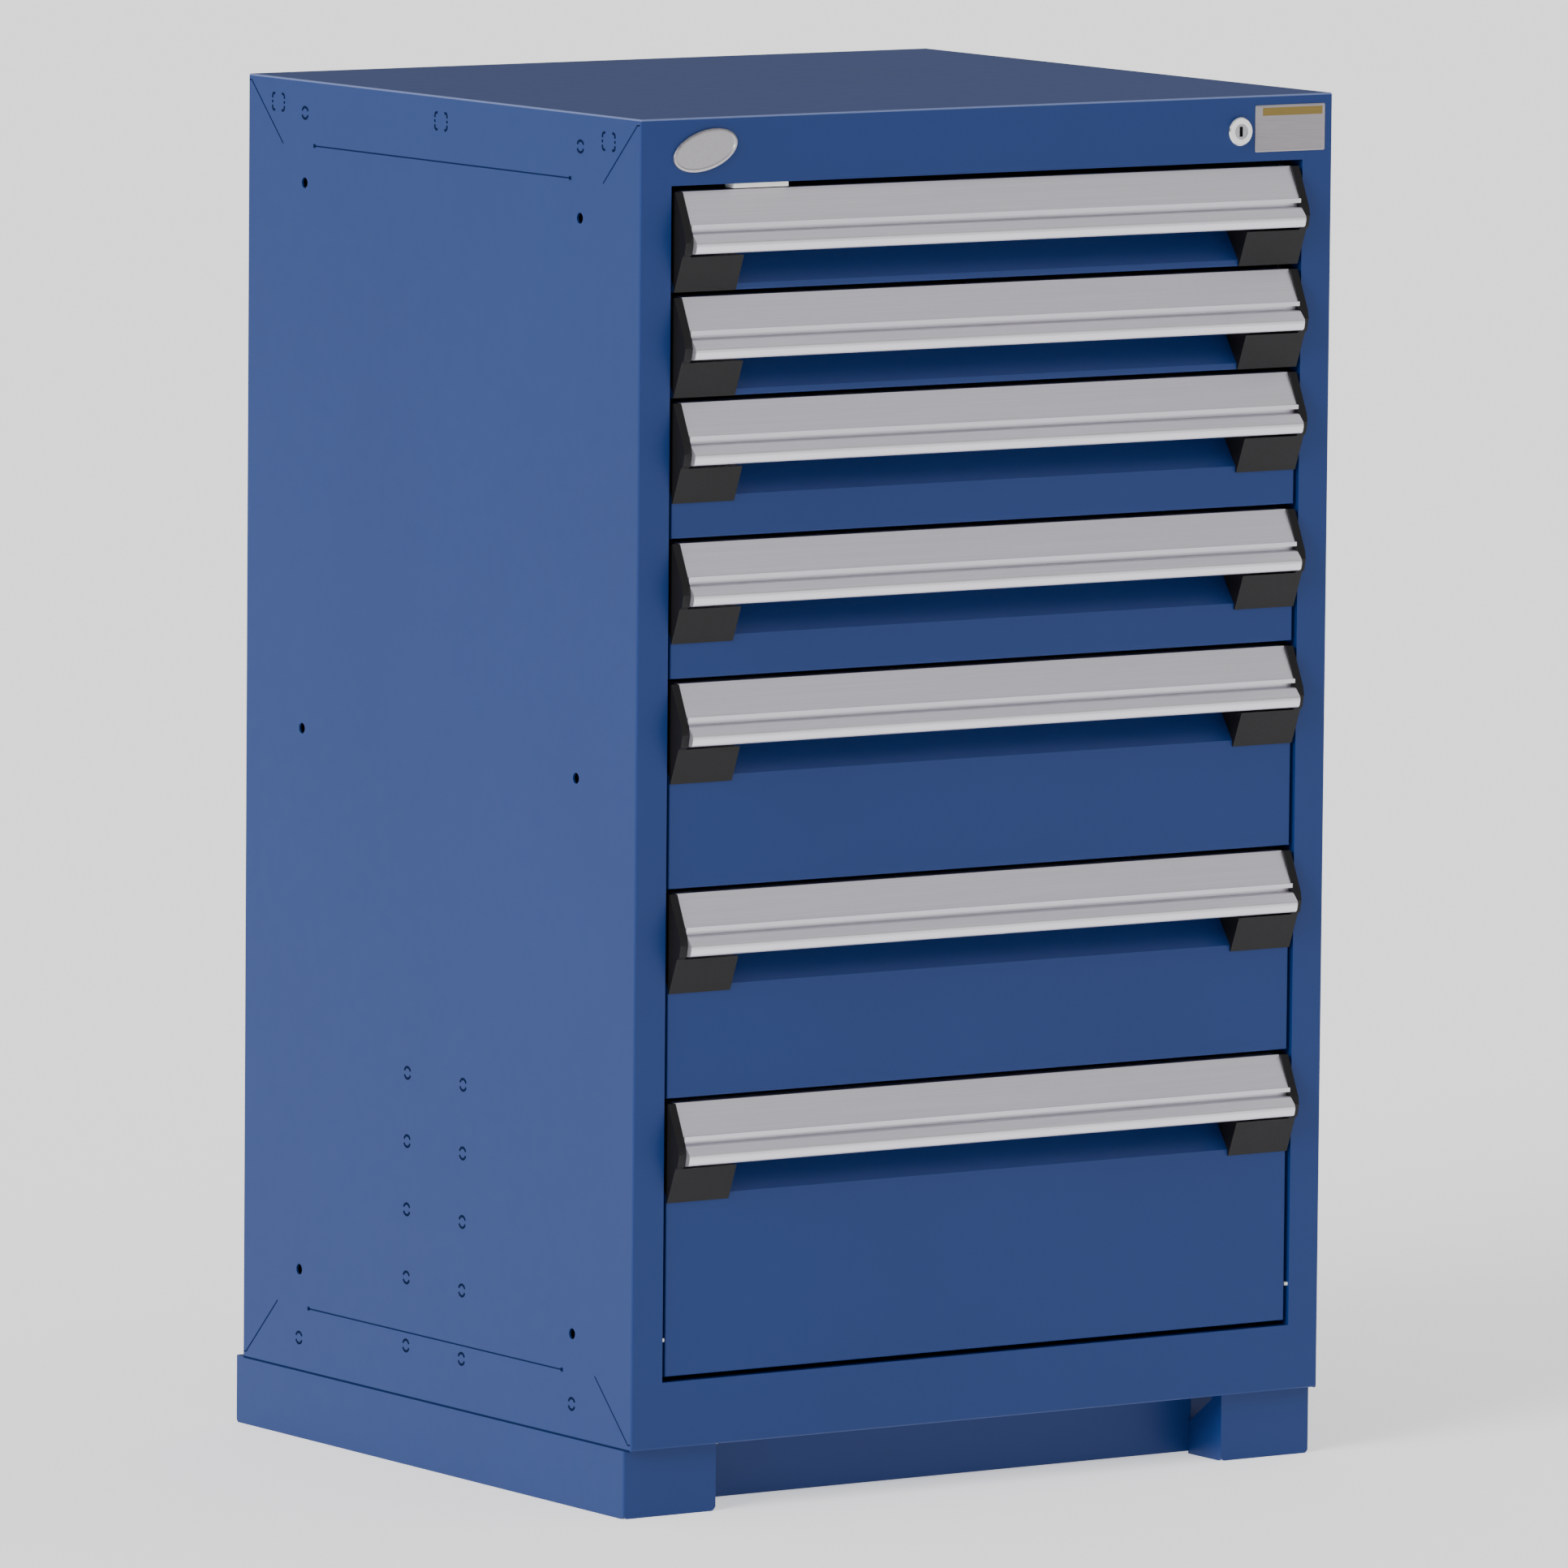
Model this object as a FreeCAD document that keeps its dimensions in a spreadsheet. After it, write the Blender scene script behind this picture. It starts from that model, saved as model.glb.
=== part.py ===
# Modular drawer cabinet: a folded steel housing on a low base, seven drawers on
# full-extension roller slides, and one lock that holds every drawer through a bar.
# Frame: X to the right, Y to the back, Z up from the floor, millimetres. The origin lies
# on the floor under the middle of the cabinet's outline.
import FreeCAD
import Part
import Sketcher
import os
import re

os.makedirs("parts", exist_ok=True)
doc = FreeCAD.newDocument("drawer_cabinet")
sheet = doc.addObject("Spreadsheet::Sheet", "Sizes")
finished = []


# Driving sizes
SIZES = {
    # Housing: outline
    "housing_width": 609.6,
    "housing_depth": 533.4,
    "housing_height": 965.2,
    "housing_gauge": 1.5,
    # Housing: front frame round the drawers
    "header_height": 48.6,
    "rail_height": 48.5,
    "stile_width": 26.6,
    "opening_return": 14.0,
    # Housing: flanges of the pans and the seams between pans and side panels
    "pan_flange": 48.6,
    "corner_band": 4.0,
    "seam_gap": 0.9,
    "seam_blind_length": 92.7,
    "pan_rear_flange": 20.0,
    "side_rear_flange": 15.0,
    "housing_corner_radius": 1.4,
    # Housing: bolt holes in the side panels
    "side_hole_radius": 4.0,
    "side_hole_low": 76.2,
    "side_hole_pitch_depth": 374.65,
    # Housing: back panel
    "back_gauge": 1.2,
    "back_margin": 4.8,
    # Housing: uprights
    "upright_gauge": 1.5,
    "upright_width": 30.0,
    "upright_front": 30.0,
    "upright_slot_pitch": 76.2,
    "upright_slot_height": 18.0,
    "upright_slot_width": 8.0,
    # Drawer stack, from the housing's bottom up
    "stack_bottom": 50.8,
    "stack_top_gap": 50.8,
    "drawer_6_face": 152.4,
    "drawer_5_face": 152.4,
    "drawer_4_face": 101.6,
    "drawer_3_face": 101.6,
    "drawer_2_face": 76.2,
    "drawer_1_face": 76.2,
    # Slides: two channels a side with a carriage of four rollers between them
    "slide_height": 34.0,
    "channel_gauge": 2.0,
    "channel_inner_height": 22.0,
    "channel_flange": 18.0,
    "rail_front": 24.0,
    "rail_rear_gap": 28.4,
    "drawer_rail_inset": 0.3,
    "carriage_inset": 24.1,
    "carriage_gauge": 3.0,
    "carriage_height": 32.0,
    "carriage_front": 28.0,
    "carriage_rear_gap": 8.0,
    "carriage_corner": 6.0,
    "roller_radius": 10.7,
    "roller_side_gap": 2.0,
    "stop_clearance": 0.7,
    "roller_rear_inset": 15.0,
    "roller_front_inset": 12.0,
    # Drawer box
    "box_gauge": 1.2,
    "slide_space": 49.6,
    "box_depth_margin": 76.2,
    "box_floor": 6.0,
    "box_top_gap": 12.0,
    "box_hem": 8.0,
    "catch_height": 54.0,
    "catch_overlap": 6.0,
    "catch_gap": 2.3,
    "catch_length": 20.0,
    # Drawer front
    "front_gauge": 1.2,
    "front_side_gap": 3.2,
    "face_setback": 1.5,
    "face_top_gap": 2.3,
    "face_bottom_gap": 1.5,
    "recess_depth": 17.5,
    "recess_height": 48.0,
    "recess_slope_foot": 70.0,
    "front_return_depth": 14.5,
    "front_fold_radius": 1.1,
    # Handle
    "handle_wall": 2.0,
    "handle_brow": 2.5,
    "label_foot_reach": 10.0,
    "label_foot_drop": 25.4,
    "ledge_reach": 12.3,
    "ledge_foot_drop": 28.5,
    "groove_reach": 7.0,
    "groove_foot_drop": 31.8,
    "lip_top_reach": 13.0,
    "handle_reach": 19.1,
    "nose_top_drop": 38.0,
    "nose_foot_drop": 41.0,
    "lip_foot_reach": 17.8,
    "lip_foot_drop": 46.3,
    "lip_rear_reach": 5.5,
    "lip_radius": 3.2,
    # End caps of the handle
    "cap_brow_drop_reach": 13.7,
    "cap_brow_drop": 32.0,
    "cap_nose_reach": 14.8,
    "cap_nose_drop": 38.0,
    "cap_foot_reach": 13.0,
    "cap_foot_drop": 46.5,
    "wedge_reach": 10.0,
    "wedge_drop": 48.7,
    "wedge_foot_drop": 74.6,
    "wedge_foot_set": 0.5,
    "cap_plate_width": 6.6,
    "wedge_width": 53.2,
    # Lock
    "lock_side_inset": 84.2,
    "lock_top_inset": 26.0,
    "lock_bezel_radius": 10.5,
    "lock_bezel_thickness": 3.0,
    "lock_bezel_chamfer": 0.8,
    "lock_body_radius": 8.0,
    "lock_body_length": 14.5,
    "lock_hole_clearance": 0.2,
    "lock_nut_radius": 11.0,
    "lock_nut_thickness": 4.0,
    "lock_bore_radius": 5.8,
    "lock_running_clearance": 0.05,
    "plug_recess": 0.4,
    "keyway_width": 3.0,
    "keyway_height": 7.5,
    "keyway_depth": 8.0,
    "cam_radius": 14.0,
    "cam_gauge": 2.5,
    "cam_gap": 1.3,
    "cam_root_radius": 6.5,
    "cam_tip_radius": 4.5,
    "cam_pin_radius": 2.5,
    "cam_pin_length": 5.9,
    # Lock bar, its arm, hooks and guides
    "bar_gap": 1.5,
    "bar_gauge": 2.5,
    "bar_side_inset": 20.8,
    "bar_width": 14.0,
    "bar_foot": 60.0,
    "arm_offset": 1.4,
    "arm_height": 16.0,
    "pin_clearance": 1.0,
    "hook_length": 18.0,
    "hook_rest": 33.2,
    "hook_height": 6.0,
    "guide_cover": 4.0,
    "guide_gauge": 1.5,
    "guide_gap": 0.4,
    "guide_height": 20.0,
    "guide_low": 110.0,
    "guide_top_inset": 155.2,
    # Nylon strip under the header and pads on the stiles
    "strip_inset": 54.1,
    "strip_length": 47.1,
    "strip_height": 3.4,
    "strip_front": 0.5,
    "strip_depth": 11.5,
    "pad_low": 78.2,
    "pad_size": 2.4,
    "pad_depth": 10.0,
    # Base
    "base_height": 50.8,
    "base_setback": 9.5,
    "base_gauge": 2.0,
    "foot_width": 80.0,
    "foot_depth": 42.0,
    "foot_chamfer_start": 12.5,
    "foot_chamfer_drop": 6.0,
    "foot_chamfer_foot": 27.0,
    "base_rim": 18.0,
    "base_relief": 3.0,
    "cover_floor_gap": 2.0,
    "cover_notch_inset": 36.8,
    "cover_notch_slant": 5.8,
    "cover_notch_height": 10.0,
    "cover_rim": 15.0,
    # Screws of the base
    "screw_neck_width": 6.3,
    "screw_head_radius": 7.0,
    "screw_head_height": 2.5,
    "screw_length": 8.0,
    "screw_nut_radius": 5.7,
    "screw_nut_thickness": 4.0,
    "screw_hole_clearance": 0.25,
    "base_screw_side_inset": 42.8,
    "base_screw_inset": 80.0,
}
for row, (name, number) in enumerate(SIZES.items(), 1):
    sheet.set("A%d" % row, name)
    sheet.set("B%d" % row, str(number))
    sheet.setAlias("B%d" % row, name)
doc.recompute()

# Lengths and places that follow from the sizes
FORMULAS = {
    "opening_half_width": "housing_width / 2 - stile_width",
    "side_hole_pitch_height": "(housing_height - 2 * side_hole_low) / 2",
    "drawer_7_face": "housing_height - stack_top_gap - stack_bottom - other_faces",
    "other_faces": " + ".join("drawer_%d_face" % number for number in range(1, 7)),
    "front_half_width": "opening_half_width - front_side_gap",
    "handle_half_width": "front_half_width - cap_plate_width",
    "wedge_inner_half_width": "front_half_width - wedge_width",
    "box_inner_half_width": "opening_half_width - slide_space",
    "box_inner_depth": "housing_depth - box_depth_margin",
    "box_rear": "recess_depth + front_gauge + box_inner_depth + 2 * box_gauge",
    "drawer_travel": "box_inner_depth",
    "rail_rear": "housing_depth - rail_rear_gap",
    "drawer_rail_rear": "box_rear - drawer_rail_inset",
    "carriage_half_gap": "opening_half_width - carriage_inset",
    "carriage_rear": "drawer_rail_rear - carriage_rear_gap",
    "front_stop": "rail_front + channel_gauge + stop_clearance",
    "front_outer_roller": "front_stop + roller_radius + drawer_travel / 2",
    "rear_outer_roller": "carriage_rear - roller_rear_inset",
    "front_inner_roller": "carriage_front + roller_front_inset",
    "bar_front": "recess_depth + front_gauge + bar_gap",
    "bar_inner": "housing_width / 2 - bar_side_inset",
    "hook_inner": "bar_inner - hook_length",
    "catch_reach": "hook_inner + catch_overlap",
    "catch_front": "bar_front + bar_gauge + catch_gap",
    "guide_inner": "bar_inner + guide_cover",
    "guide_pitch": "(housing_height - guide_top_inset - guide_low) / 2",
    "lock_x": "housing_width / 2 - lock_side_inset",
    "lock_z": "housing_height - lock_top_inset",
    "arm_inner": "lock_x + arm_offset",
    "arm_slot_inner": "lock_x + cos(45) * cam_radius - cam_pin_radius - pin_clearance",
    "arm_slot_width": "(1 - cos(45)) * cam_radius + arm_slot_height",
    "arm_slot_height": "2 * (cam_pin_radius + pin_clearance)",
    "strip_left": "-(opening_half_width - strip_inset)",
    "cover_notch_half_width": "housing_width / 2 - foot_width - cover_notch_inset",
    "base_screw_x": "housing_width / 2 - base_screw_side_inset",
}
HALF = "housing_width / 2"
WALL = "(housing_width / 2 - housing_gauge)"
OPENING = "opening_half_width"
HEADER_FOOT = "(housing_height - header_height)"
SHIFT = "(base_setback + housing_depth - handle_reach) / 2"
BOX_OUTER = "(box_inner_half_width + box_gauge)"
BOX_FRONT = "(recess_depth + front_gauge)"
BOX_REAR = "box_rear"
CHANNEL_HALF = "(channel_inner_height / 2 + channel_gauge)"
BAR_REAR = "(bar_front + bar_gauge)"
LEFT = "-"
RIGHT = ""
SIDES = (LEFT, RIGHT)
DRAWERS = range(1, 8)


def written_out(text, prefix):
    """A formula with its derived lengths written out and a prefix before each size."""

    def word_written_out(match):
        word = match.group(0)
        if word in FORMULAS:
            return "(" + written_out(FORMULAS[word], prefix) + ")"
        return prefix + word if word in SIZES else word

    return re.sub(r"[a-z_][a-z0-9_]*", word_written_out, text)


def value(text):
    """The number that a formula comes to."""
    return float(sheet.evalExpression(written_out(text, "")))


def bound(text):
    """A formula as the document's other objects have to write it."""
    return written_out(text, "Sizes.")


def on_side(side, text):
    """A distance from the middle plane, measured to the left or to the right."""
    return side + "(" + text + ")"


def box(u_start, u_end, w_start, w_end):
    """The corners of a rectangle."""
    return [(u_start, w_start), (u_end, w_start), (u_end, w_end), (u_start, w_end)]


def cut_corners(u_start, u_end, w_start, w_end, corner):
    """The corners of a rectangle whose four corners are cut off at 45 degrees."""
    return [
        (u_start + " + " + corner, w_start),
        (u_end + " - " + corner, w_start),
        (u_end, w_start + " + " + corner),
        (u_end, w_end + " - " + corner),
        (u_end + " - " + corner, w_end),
        (u_start + " + " + corner, w_end),
        (u_start, w_end + " - " + corner),
        (u_start, w_start + " + " + corner),
    ]


def regular(u, w, radius, sides):
    """The corners of a regular outline round a centre."""
    turns = [360.0 * k / sides for k in range(sides)]
    return [
        ("%s + %s * cos(%g)" % (u, radius, turn), "%s + %s * sin(%g)" % (w, radius, turn))
        for turn in turns
    ]


def add_polygon(sketch, corners):
    """Draws a closed outline and ties each corner to its two formulas."""
    first = sketch.GeometryCount
    count = len(corners)
    points = [FreeCAD.Vector(value(u), value(w), 0) for u, w in corners]
    lines = [Part.LineSegment(points[i], points[(i + 1) % count]) for i in range(count)]
    sketch.addGeometry(lines)
    for i in range(count):
        following = first + (i + 1) % count
        sketch.addConstraint(Sketcher.Constraint("Coincident", first + i, 2, following, 1))
    for i in range(count):
        for kind, text in (("DistanceX", corners[i][0]), ("DistanceY", corners[i][1])):
            rule = Sketcher.Constraint(kind, -1, 1, first + i, 1, value(text))
            index = sketch.addConstraint(rule)
            sketch.setExpression("Constraints[%d]" % index, bound(text))


def add_circle(sketch, u, w, radius):
    """Draws a circle and ties its centre and radius to their formulas."""
    centre = FreeCAD.Vector(value(u), value(w), 0)
    circle = Part.Circle(centre, FreeCAD.Vector(0, 0, 1), value(radius))
    first = sketch.addGeometry(circle)
    rules = (
        (Sketcher.Constraint("DistanceX", -1, 1, first, 3, value(u)), u),
        (Sketcher.Constraint("DistanceY", -1, 1, first, 3, value(w)), w),
        (Sketcher.Constraint("Radius", first, value(radius)), radius),
    )
    for rule, text in rules:
        index = sketch.addConstraint(rule)
        sketch.setExpression("Constraints[%d]" % index, bound(text))


class Piece:
    """One body, drawn in its own frame and set into the cabinet by its placement."""

    def __init__(self, name, height="base_height"):
        self.body = doc.addObject("PartDesign::Body", name)
        self.body.Label = name
        self.height = height

    def sketch(self, plane, level):
        """A new sketch on one of the body's own planes, moved along the plane's axis."""
        sketch = self.body.newObject("Sketcher::SketchObject", "outline")
        roles = [f for f in self.body.Origin.OriginFeatures if f.Role == plane]
        sketch.AttachmentSupport = [(roles[0], "")]
        sketch.MapMode = "FlatFace"
        sketch.setExpression("AttachmentOffset.Base.z", bound(level))
        return sketch

    def work(self, kind, plane, start, end, outlines):
        """Adds or cuts the outlines between two levels along the plane's axis."""
        adding = kind == "PartDesign::Pad"
        if plane == "XZ_Plane":
            level = "-(" + (end if adding else start) + ")"
        else:
            level = start if adding else end
        sketch = self.sketch(plane, level)
        for outline in outlines:
            if isinstance(outline, tuple):
                add_circle(sketch, outline[0], outline[1], outline[2])
            else:
                add_polygon(sketch, outline)
        feature = self.body.newObject(kind, "cut")
        if adding:
            feature.Label = "form"
        feature.Profile = sketch
        feature.setExpression("Length", bound("(" + end + ") - (" + start + ")"))
        return feature

    def slab(self, plane, start, end, *outlines):
        """Adds material."""
        return self.work("PartDesign::Pad", plane, start, end, outlines)

    def cut(self, plane, start, end, *outlines):
        """Takes material away."""
        return self.work("PartDesign::Pocket", plane, start, end, outlines)

    def slab_pair(self, start, end, *outlines):
        """Adds the same side-view outline on the left and on the right."""
        self.slab("YZ_Plane", start, end, *outlines)
        self.slab("YZ_Plane", "-(" + end + ")", "-(" + start + ")", *outlines)

    def edges_along(self, direction, places):
        """The last feature's straight edges along a direction through given places."""
        doc.recompute()
        axes = {"X": (0, 1, 2), "Y": (1, 0, 2), "Z": (2, 0, 1)}[direction]
        wanted = [(value(u), value(w)) for u, w in places]
        found = []
        for number, edge in enumerate(self.body.Tip.Shape.Edges, 1):
            if edge.Curve.TypeId != "Part::GeomLine":
                continue
            if abs(abs(edge.Curve.Direction[axes[0]]) - 1) > 1e-6:
                continue
            point = edge.CenterOfMass
            here = (point[axes[1]], point[axes[2]])
            for there in wanted:
                if abs(here[0] - there[0]) < 0.01 and abs(here[1] - there[1]) < 0.01:
                    found.append("Edge%d" % number)
        if not found:
            raise ValueError(self.body.Label + ": no edge found along " + direction)
        return found

    def soften(self, kind, radius, *groups):
        """Rounds or chamfers the edges that the groups of direction and places name."""
        edges = []
        for direction, places in groups:
            edges += self.edges_along(direction, places)
        base = self.body.Tip
        feature = self.body.newObject(kind, "softened")
        feature.Base = (base, edges)
        name = "Radius" if kind == "PartDesign::Fillet" else "Size"
        feature.setExpression(name, bound(radius))

    def fillet(self, radius, *groups):
        """Rounds edges."""
        self.soften("PartDesign::Fillet", radius, *groups)

    def chamfer_circles(self, size_name, radius, level):
        """Chamfers the circular edges of a radius at a level along Y."""
        doc.recompute()
        edges = []
        for number, edge in enumerate(self.body.Tip.Shape.Edges, 1):
            if edge.Curve.TypeId != "Part::GeomCircle":
                continue
            if abs(edge.Curve.Radius - value(radius)) > 0.01:
                continue
            if abs(edge.Curve.Center.y - value(level)) < 0.01:
                edges.append("Edge%d" % number)
        base = self.body.Tip
        feature = self.body.newObject("PartDesign::Chamfer", "softened")
        feature.Base = (base, edges)
        feature.setExpression("Size", bound(size_name))

    def repeat(self, feature, axis, pitch, count):
        """Repeats one feature along an axis of the body."""
        pattern = self.body.newObject("PartDesign::LinearPattern", "row")
        lines = [f for f in self.body.Origin.OriginFeatures if f.Role == axis]
        pattern.Originals = [feature]
        pattern.Direction = (lines[0], [""])
        pattern.Occurrences = count
        pattern.setExpression("Length", bound("(" + pitch + ") * %d" % (count - 1)))
        self.body.Tip = pattern

    def finish(self):
        """Sets the body into the cabinet's frame and keeps it for the export."""
        place(self.body, self.height)
        finished.append(self.body)


def place(item, height):
    """Moves a finished piece from its drawing frame into the cabinet's frame."""
    item.setExpression("Placement.Base.y", bound("-" + SHIFT))
    item.setExpression("Placement.Base.z", bound(height))


def group(name, bodies, height):
    """Several solids that stay separate, under one name."""
    compound = doc.addObject("Part::Compound", name)
    compound.Label = name
    compound.Links = [piece.body for piece in bodies]
    place(compound, height)
    finished.append(compound)


def stack_level(number):
    """How high above the housing's bottom the space of a drawer begins."""
    below = ["stack_bottom"] + ["drawer_%d_face" % n for n in DRAWERS if n > number]
    return "(" + " + ".join(below) + ")"


def pan(name, is_top):
    """A folded pan: its sheet, front, rear lip and side flanges with mitred ends."""

    def up(text):
        return "(housing_height - (" + text + "))" if is_top else "(" + text + ")"

    def levels(low, high):
        return (up(high), up(low)) if is_top else (up(low), up(high))

    front_height = "header_height" if is_top else "rail_height"
    piece = Piece(name)
    low, high = levels("0", "housing_gauge")
    piece.slab("XY_Plane", low, high, box("-" + HALF, HALF, "0", "housing_depth"))
    front = box("-" + HALF, HALF, up("0"), up(front_height))
    piece.slab("XZ_Plane", "0", "housing_gauge", front)
    rear = box("-" + HALF, HALF, up("0"), up("pan_rear_flange"))
    piece.slab("XZ_Plane", "housing_depth - housing_gauge", "housing_depth", rear)
    low, high = levels(front_height + " - housing_gauge", front_height)
    fold = box("-" + OPENING, OPENING, "0", "opening_return")
    piece.slab("XY_Plane", low, high, fold)
    foot = "pan_flange + seam_gap"
    shoulder = "corner_band + seam_gap"
    slit_rear = "housing_depth - seam_blind_length"
    flange = [
        ("0", up("0")),
        ("housing_depth", up("0")),
        ("housing_depth", up("corner_band")),
        ("housing_depth - (" + shoulder + ")", up("corner_band")),
        ("housing_depth - (" + foot + ")", up("pan_flange")),
        (slit_rear, up("pan_flange")),
        (slit_rear, up("pan_flange - seam_gap")),
        ("seam_blind_length", up("pan_flange - seam_gap")),
        ("seam_blind_length", up("pan_flange")),
        (foot, up("pan_flange")),
        (shoulder, up("corner_band")),
        ("0", up("corner_band")),
    ]
    piece.slab_pair(WALL, HALF, flange)
    if is_top:
        hole = ("lock_x", "lock_z", "lock_body_radius + lock_hole_clearance")
        piece.cut("XZ_Plane", "-housing_gauge", "2 * housing_gauge", hole)
    else:
        holes = base_screw_squares("(screw_neck_width / 2 + screw_hole_clearance)")
        piece.cut("XY_Plane", "-housing_gauge", "2 * housing_gauge", *holes)
    ends = [("-" + HALF, "0"), (HALF, "0")]
    rear_ends = [("-" + HALF, "housing_depth"), (HALF, "housing_depth")]
    folds = [("Z", ends + rear_ends), ("X", [("0", up("0"))])]
    if is_top:
        folds.append(("X", [("housing_depth", up("0"))]))
        folds.append(("Y", [("-" + HALF, up("0")), (HALF, up("0"))]))
    piece.fillet("housing_corner_radius", *folds)
    piece.finish()


def base_screw_places():
    """The centres of the screws that hold the housing on its base."""
    depths = ("base_screw_inset", "(housing_depth - base_screw_inset + base_setback)")
    return [(on_side(side, "base_screw_x"), y) for side in SIDES for y in depths]


def base_screw_squares(half):
    """The squares of half a width round the centres of the screws."""
    return [
        box(x + " - " + half, x + " + " + half, y + " - " + half, y + " + " + half)
        for x, y in base_screw_places()
    ]


def side_panel(name, side):
    """A side panel with its stile, rear lip, bolt holes and mitred ends."""
    piece = Piece(name)
    shoulder = "(corner_band + seam_gap)"
    rear = "(housing_depth - housing_gauge)"
    plate = [
        ("housing_gauge", shoulder),
        (shoulder, shoulder),
        ("pan_flange", "pan_flange"),
        ("housing_depth - pan_flange", "pan_flange"),
        ("housing_depth - " + shoulder, shoulder),
        (rear, shoulder),
        (rear, "housing_height - " + shoulder),
        ("housing_depth - " + shoulder, "housing_height - " + shoulder),
        ("housing_depth - pan_flange", "housing_height - pan_flange"),
        ("pan_flange", "housing_height - pan_flange"),
        (shoulder, "housing_height - " + shoulder),
        ("housing_gauge", "housing_height - " + shoulder),
    ]
    start, end = (WALL, HALF) if side == RIGHT else ("-" + HALF, "-" + WALL)
    piece.slab("YZ_Plane", start, end, plate)
    edge = OPENING
    stile = [
        (on_side(side, HALF), "0"),
        (on_side(side, edge), "0"),
        (on_side(side, edge), "opening_return"),
        (on_side(side, edge + " + housing_gauge"), "opening_return"),
        (on_side(side, edge + " + housing_gauge"), "housing_gauge"),
        (on_side(side, HALF), "housing_gauge"),
    ]
    piece.slab("XY_Plane", "rail_height", HEADER_FOOT, stile)
    lip_inner = on_side(side, HALF + " - side_rear_flange")
    lip = box(on_side(side, HALF), lip_inner, rear, "housing_depth")
    top = "housing_height - pan_rear_flange"
    piece.slab("XY_Plane", "pan_rear_flange", top, lip)
    depths = [
        "(housing_depth - side_hole_pitch_depth) / 2",
        "(housing_depth + side_hole_pitch_depth) / 2",
    ]
    heights = ["side_hole_low + %d * side_hole_pitch_height" % row for row in range(3)]
    holes = [(y, z, "side_hole_radius") for y in depths for z in heights]
    piece.cut("YZ_Plane", start + " - housing_gauge", end + " + housing_gauge", *holes)
    corners = [(on_side(side, HALF), "0"), (on_side(side, HALF), "housing_depth")]
    piece.fillet("housing_corner_radius", ("Z", corners))
    piece.finish()


def back_panel():
    """The flat panel behind the side panels' rear lips."""
    piece = Piece("back_panel")
    rear = "housing_depth - housing_gauge"
    plate = box(
        "-(" + HALF + " - back_margin)",
        HALF + " - back_margin",
        "back_margin",
        "housing_height - back_margin",
    )
    piece.slab("XZ_Plane", rear + " - back_gauge", rear, plate)
    piece.finish()


def uprights():
    """Four channels with a row of slots, two behind each stile and two at the rear."""
    piece = Piece("uprights")
    web = OPENING
    inside = OPENING + " + upright_gauge"
    fronts = ("upright_front", "housing_depth - upright_front - upright_width")
    outlines = []
    for side in SIDES:
        for front in fronts:
            rear = front + " + upright_width"
            outline = [
                (on_side(side, web), front),
                (on_side(side, WALL), front),
                (on_side(side, WALL), front + " + upright_gauge"),
                (on_side(side, inside), front + " + upright_gauge"),
                (on_side(side, inside), rear + " - upright_gauge"),
                (on_side(side, WALL), rear + " - upright_gauge"),
                (on_side(side, WALL), rear),
                (on_side(side, web), rear),
            ]
            outlines.append(outline)
    top = "housing_height - housing_gauge"
    piece.slab("XY_Plane", "housing_gauge", top, *outlines)
    slots = []
    low = "upright_slot_pitch"
    for front in fronts:
        middle = front + " + upright_width / 2"
        slots.append(box(
            middle + " - upright_slot_width / 2",
            middle + " + upright_slot_width / 2",
            low + " - upright_slot_height / 2",
            low + " + upright_slot_height / 2",
        ))
    reach = OPENING + " + 2 * upright_gauge"
    slot = piece.cut("YZ_Plane", "-(" + reach + ")", reach, *slots)
    rows = int(value("(housing_height - 2 * housing_gauge) / upright_slot_pitch"))
    piece.repeat(slot, "Z_Axis", "upright_slot_pitch", rows)
    piece.finish()


def channel(side, web, tip, height):
    """A channel seen from the front: its web stands at one side, its flanges reach away."""
    inner = web + (" + channel_gauge" if value(tip) > value(web) else " - channel_gauge")
    half = CHANNEL_HALF
    return [
        (on_side(side, web), height + " - " + half),
        (on_side(side, tip), height + " - " + half),
        (on_side(side, tip), height + " - channel_inner_height / 2"),
        (on_side(side, inner), height + " - channel_inner_height / 2"),
        (on_side(side, inner), height + " + channel_inner_height / 2"),
        (on_side(side, tip), height + " + channel_inner_height / 2"),
        (on_side(side, tip), height + " + " + half),
        (on_side(side, web), height + " + " + half),
    ]


def stop_tab(side, web, tip, height):
    """A tab that closes a channel between its flanges and stops the rollers."""
    inner = web + (" + channel_gauge" if value(tip) > value(web) else " - channel_gauge")
    low = height + " - channel_inner_height / 2"
    high = height + " + channel_inner_height / 2"
    return box(on_side(side, inner), on_side(side, tip), low, high)


def fixed_rails():
    """The fourteen channels on the uprights, with a stop at the front of each."""
    piece = Piece("fixed_rails")
    web = OPENING
    tip = "(" + OPENING + " - channel_flange)"
    for number in DRAWERS:
        height = stack_level(number) + " + slide_height"
        rails = [channel(side, web, tip, height) for side in SIDES]
        piece.slab("XZ_Plane", "rail_front", "rail_rear", *rails)
        tabs = [stop_tab(side, web, tip, height) for side in SIDES]
        piece.slab("XZ_Plane", "rail_front", "rail_front + channel_gauge", *tabs)
    piece.finish()


def housing_screws():
    """The four like carriage bolts between the housing and its base, with their nuts."""
    piece = Piece("housing_screws")
    seat = "housing_gauge"
    heads = [regular(x, y, "screw_head_radius", 12) for x, y in base_screw_places()]
    piece.slab("XY_Plane", seat, seat + " + screw_head_height", *heads)
    necks = base_screw_squares("screw_neck_width / 2")
    piece.slab("XY_Plane", seat + " - screw_length", seat, *necks)
    nuts = [regular(x, y, "screw_nut_radius", 6) for x, y in base_screw_places()]
    piece.slab("XY_Plane", "-base_gauge - screw_nut_thickness", "-base_gauge", *nuts)
    piece.finish()


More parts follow.
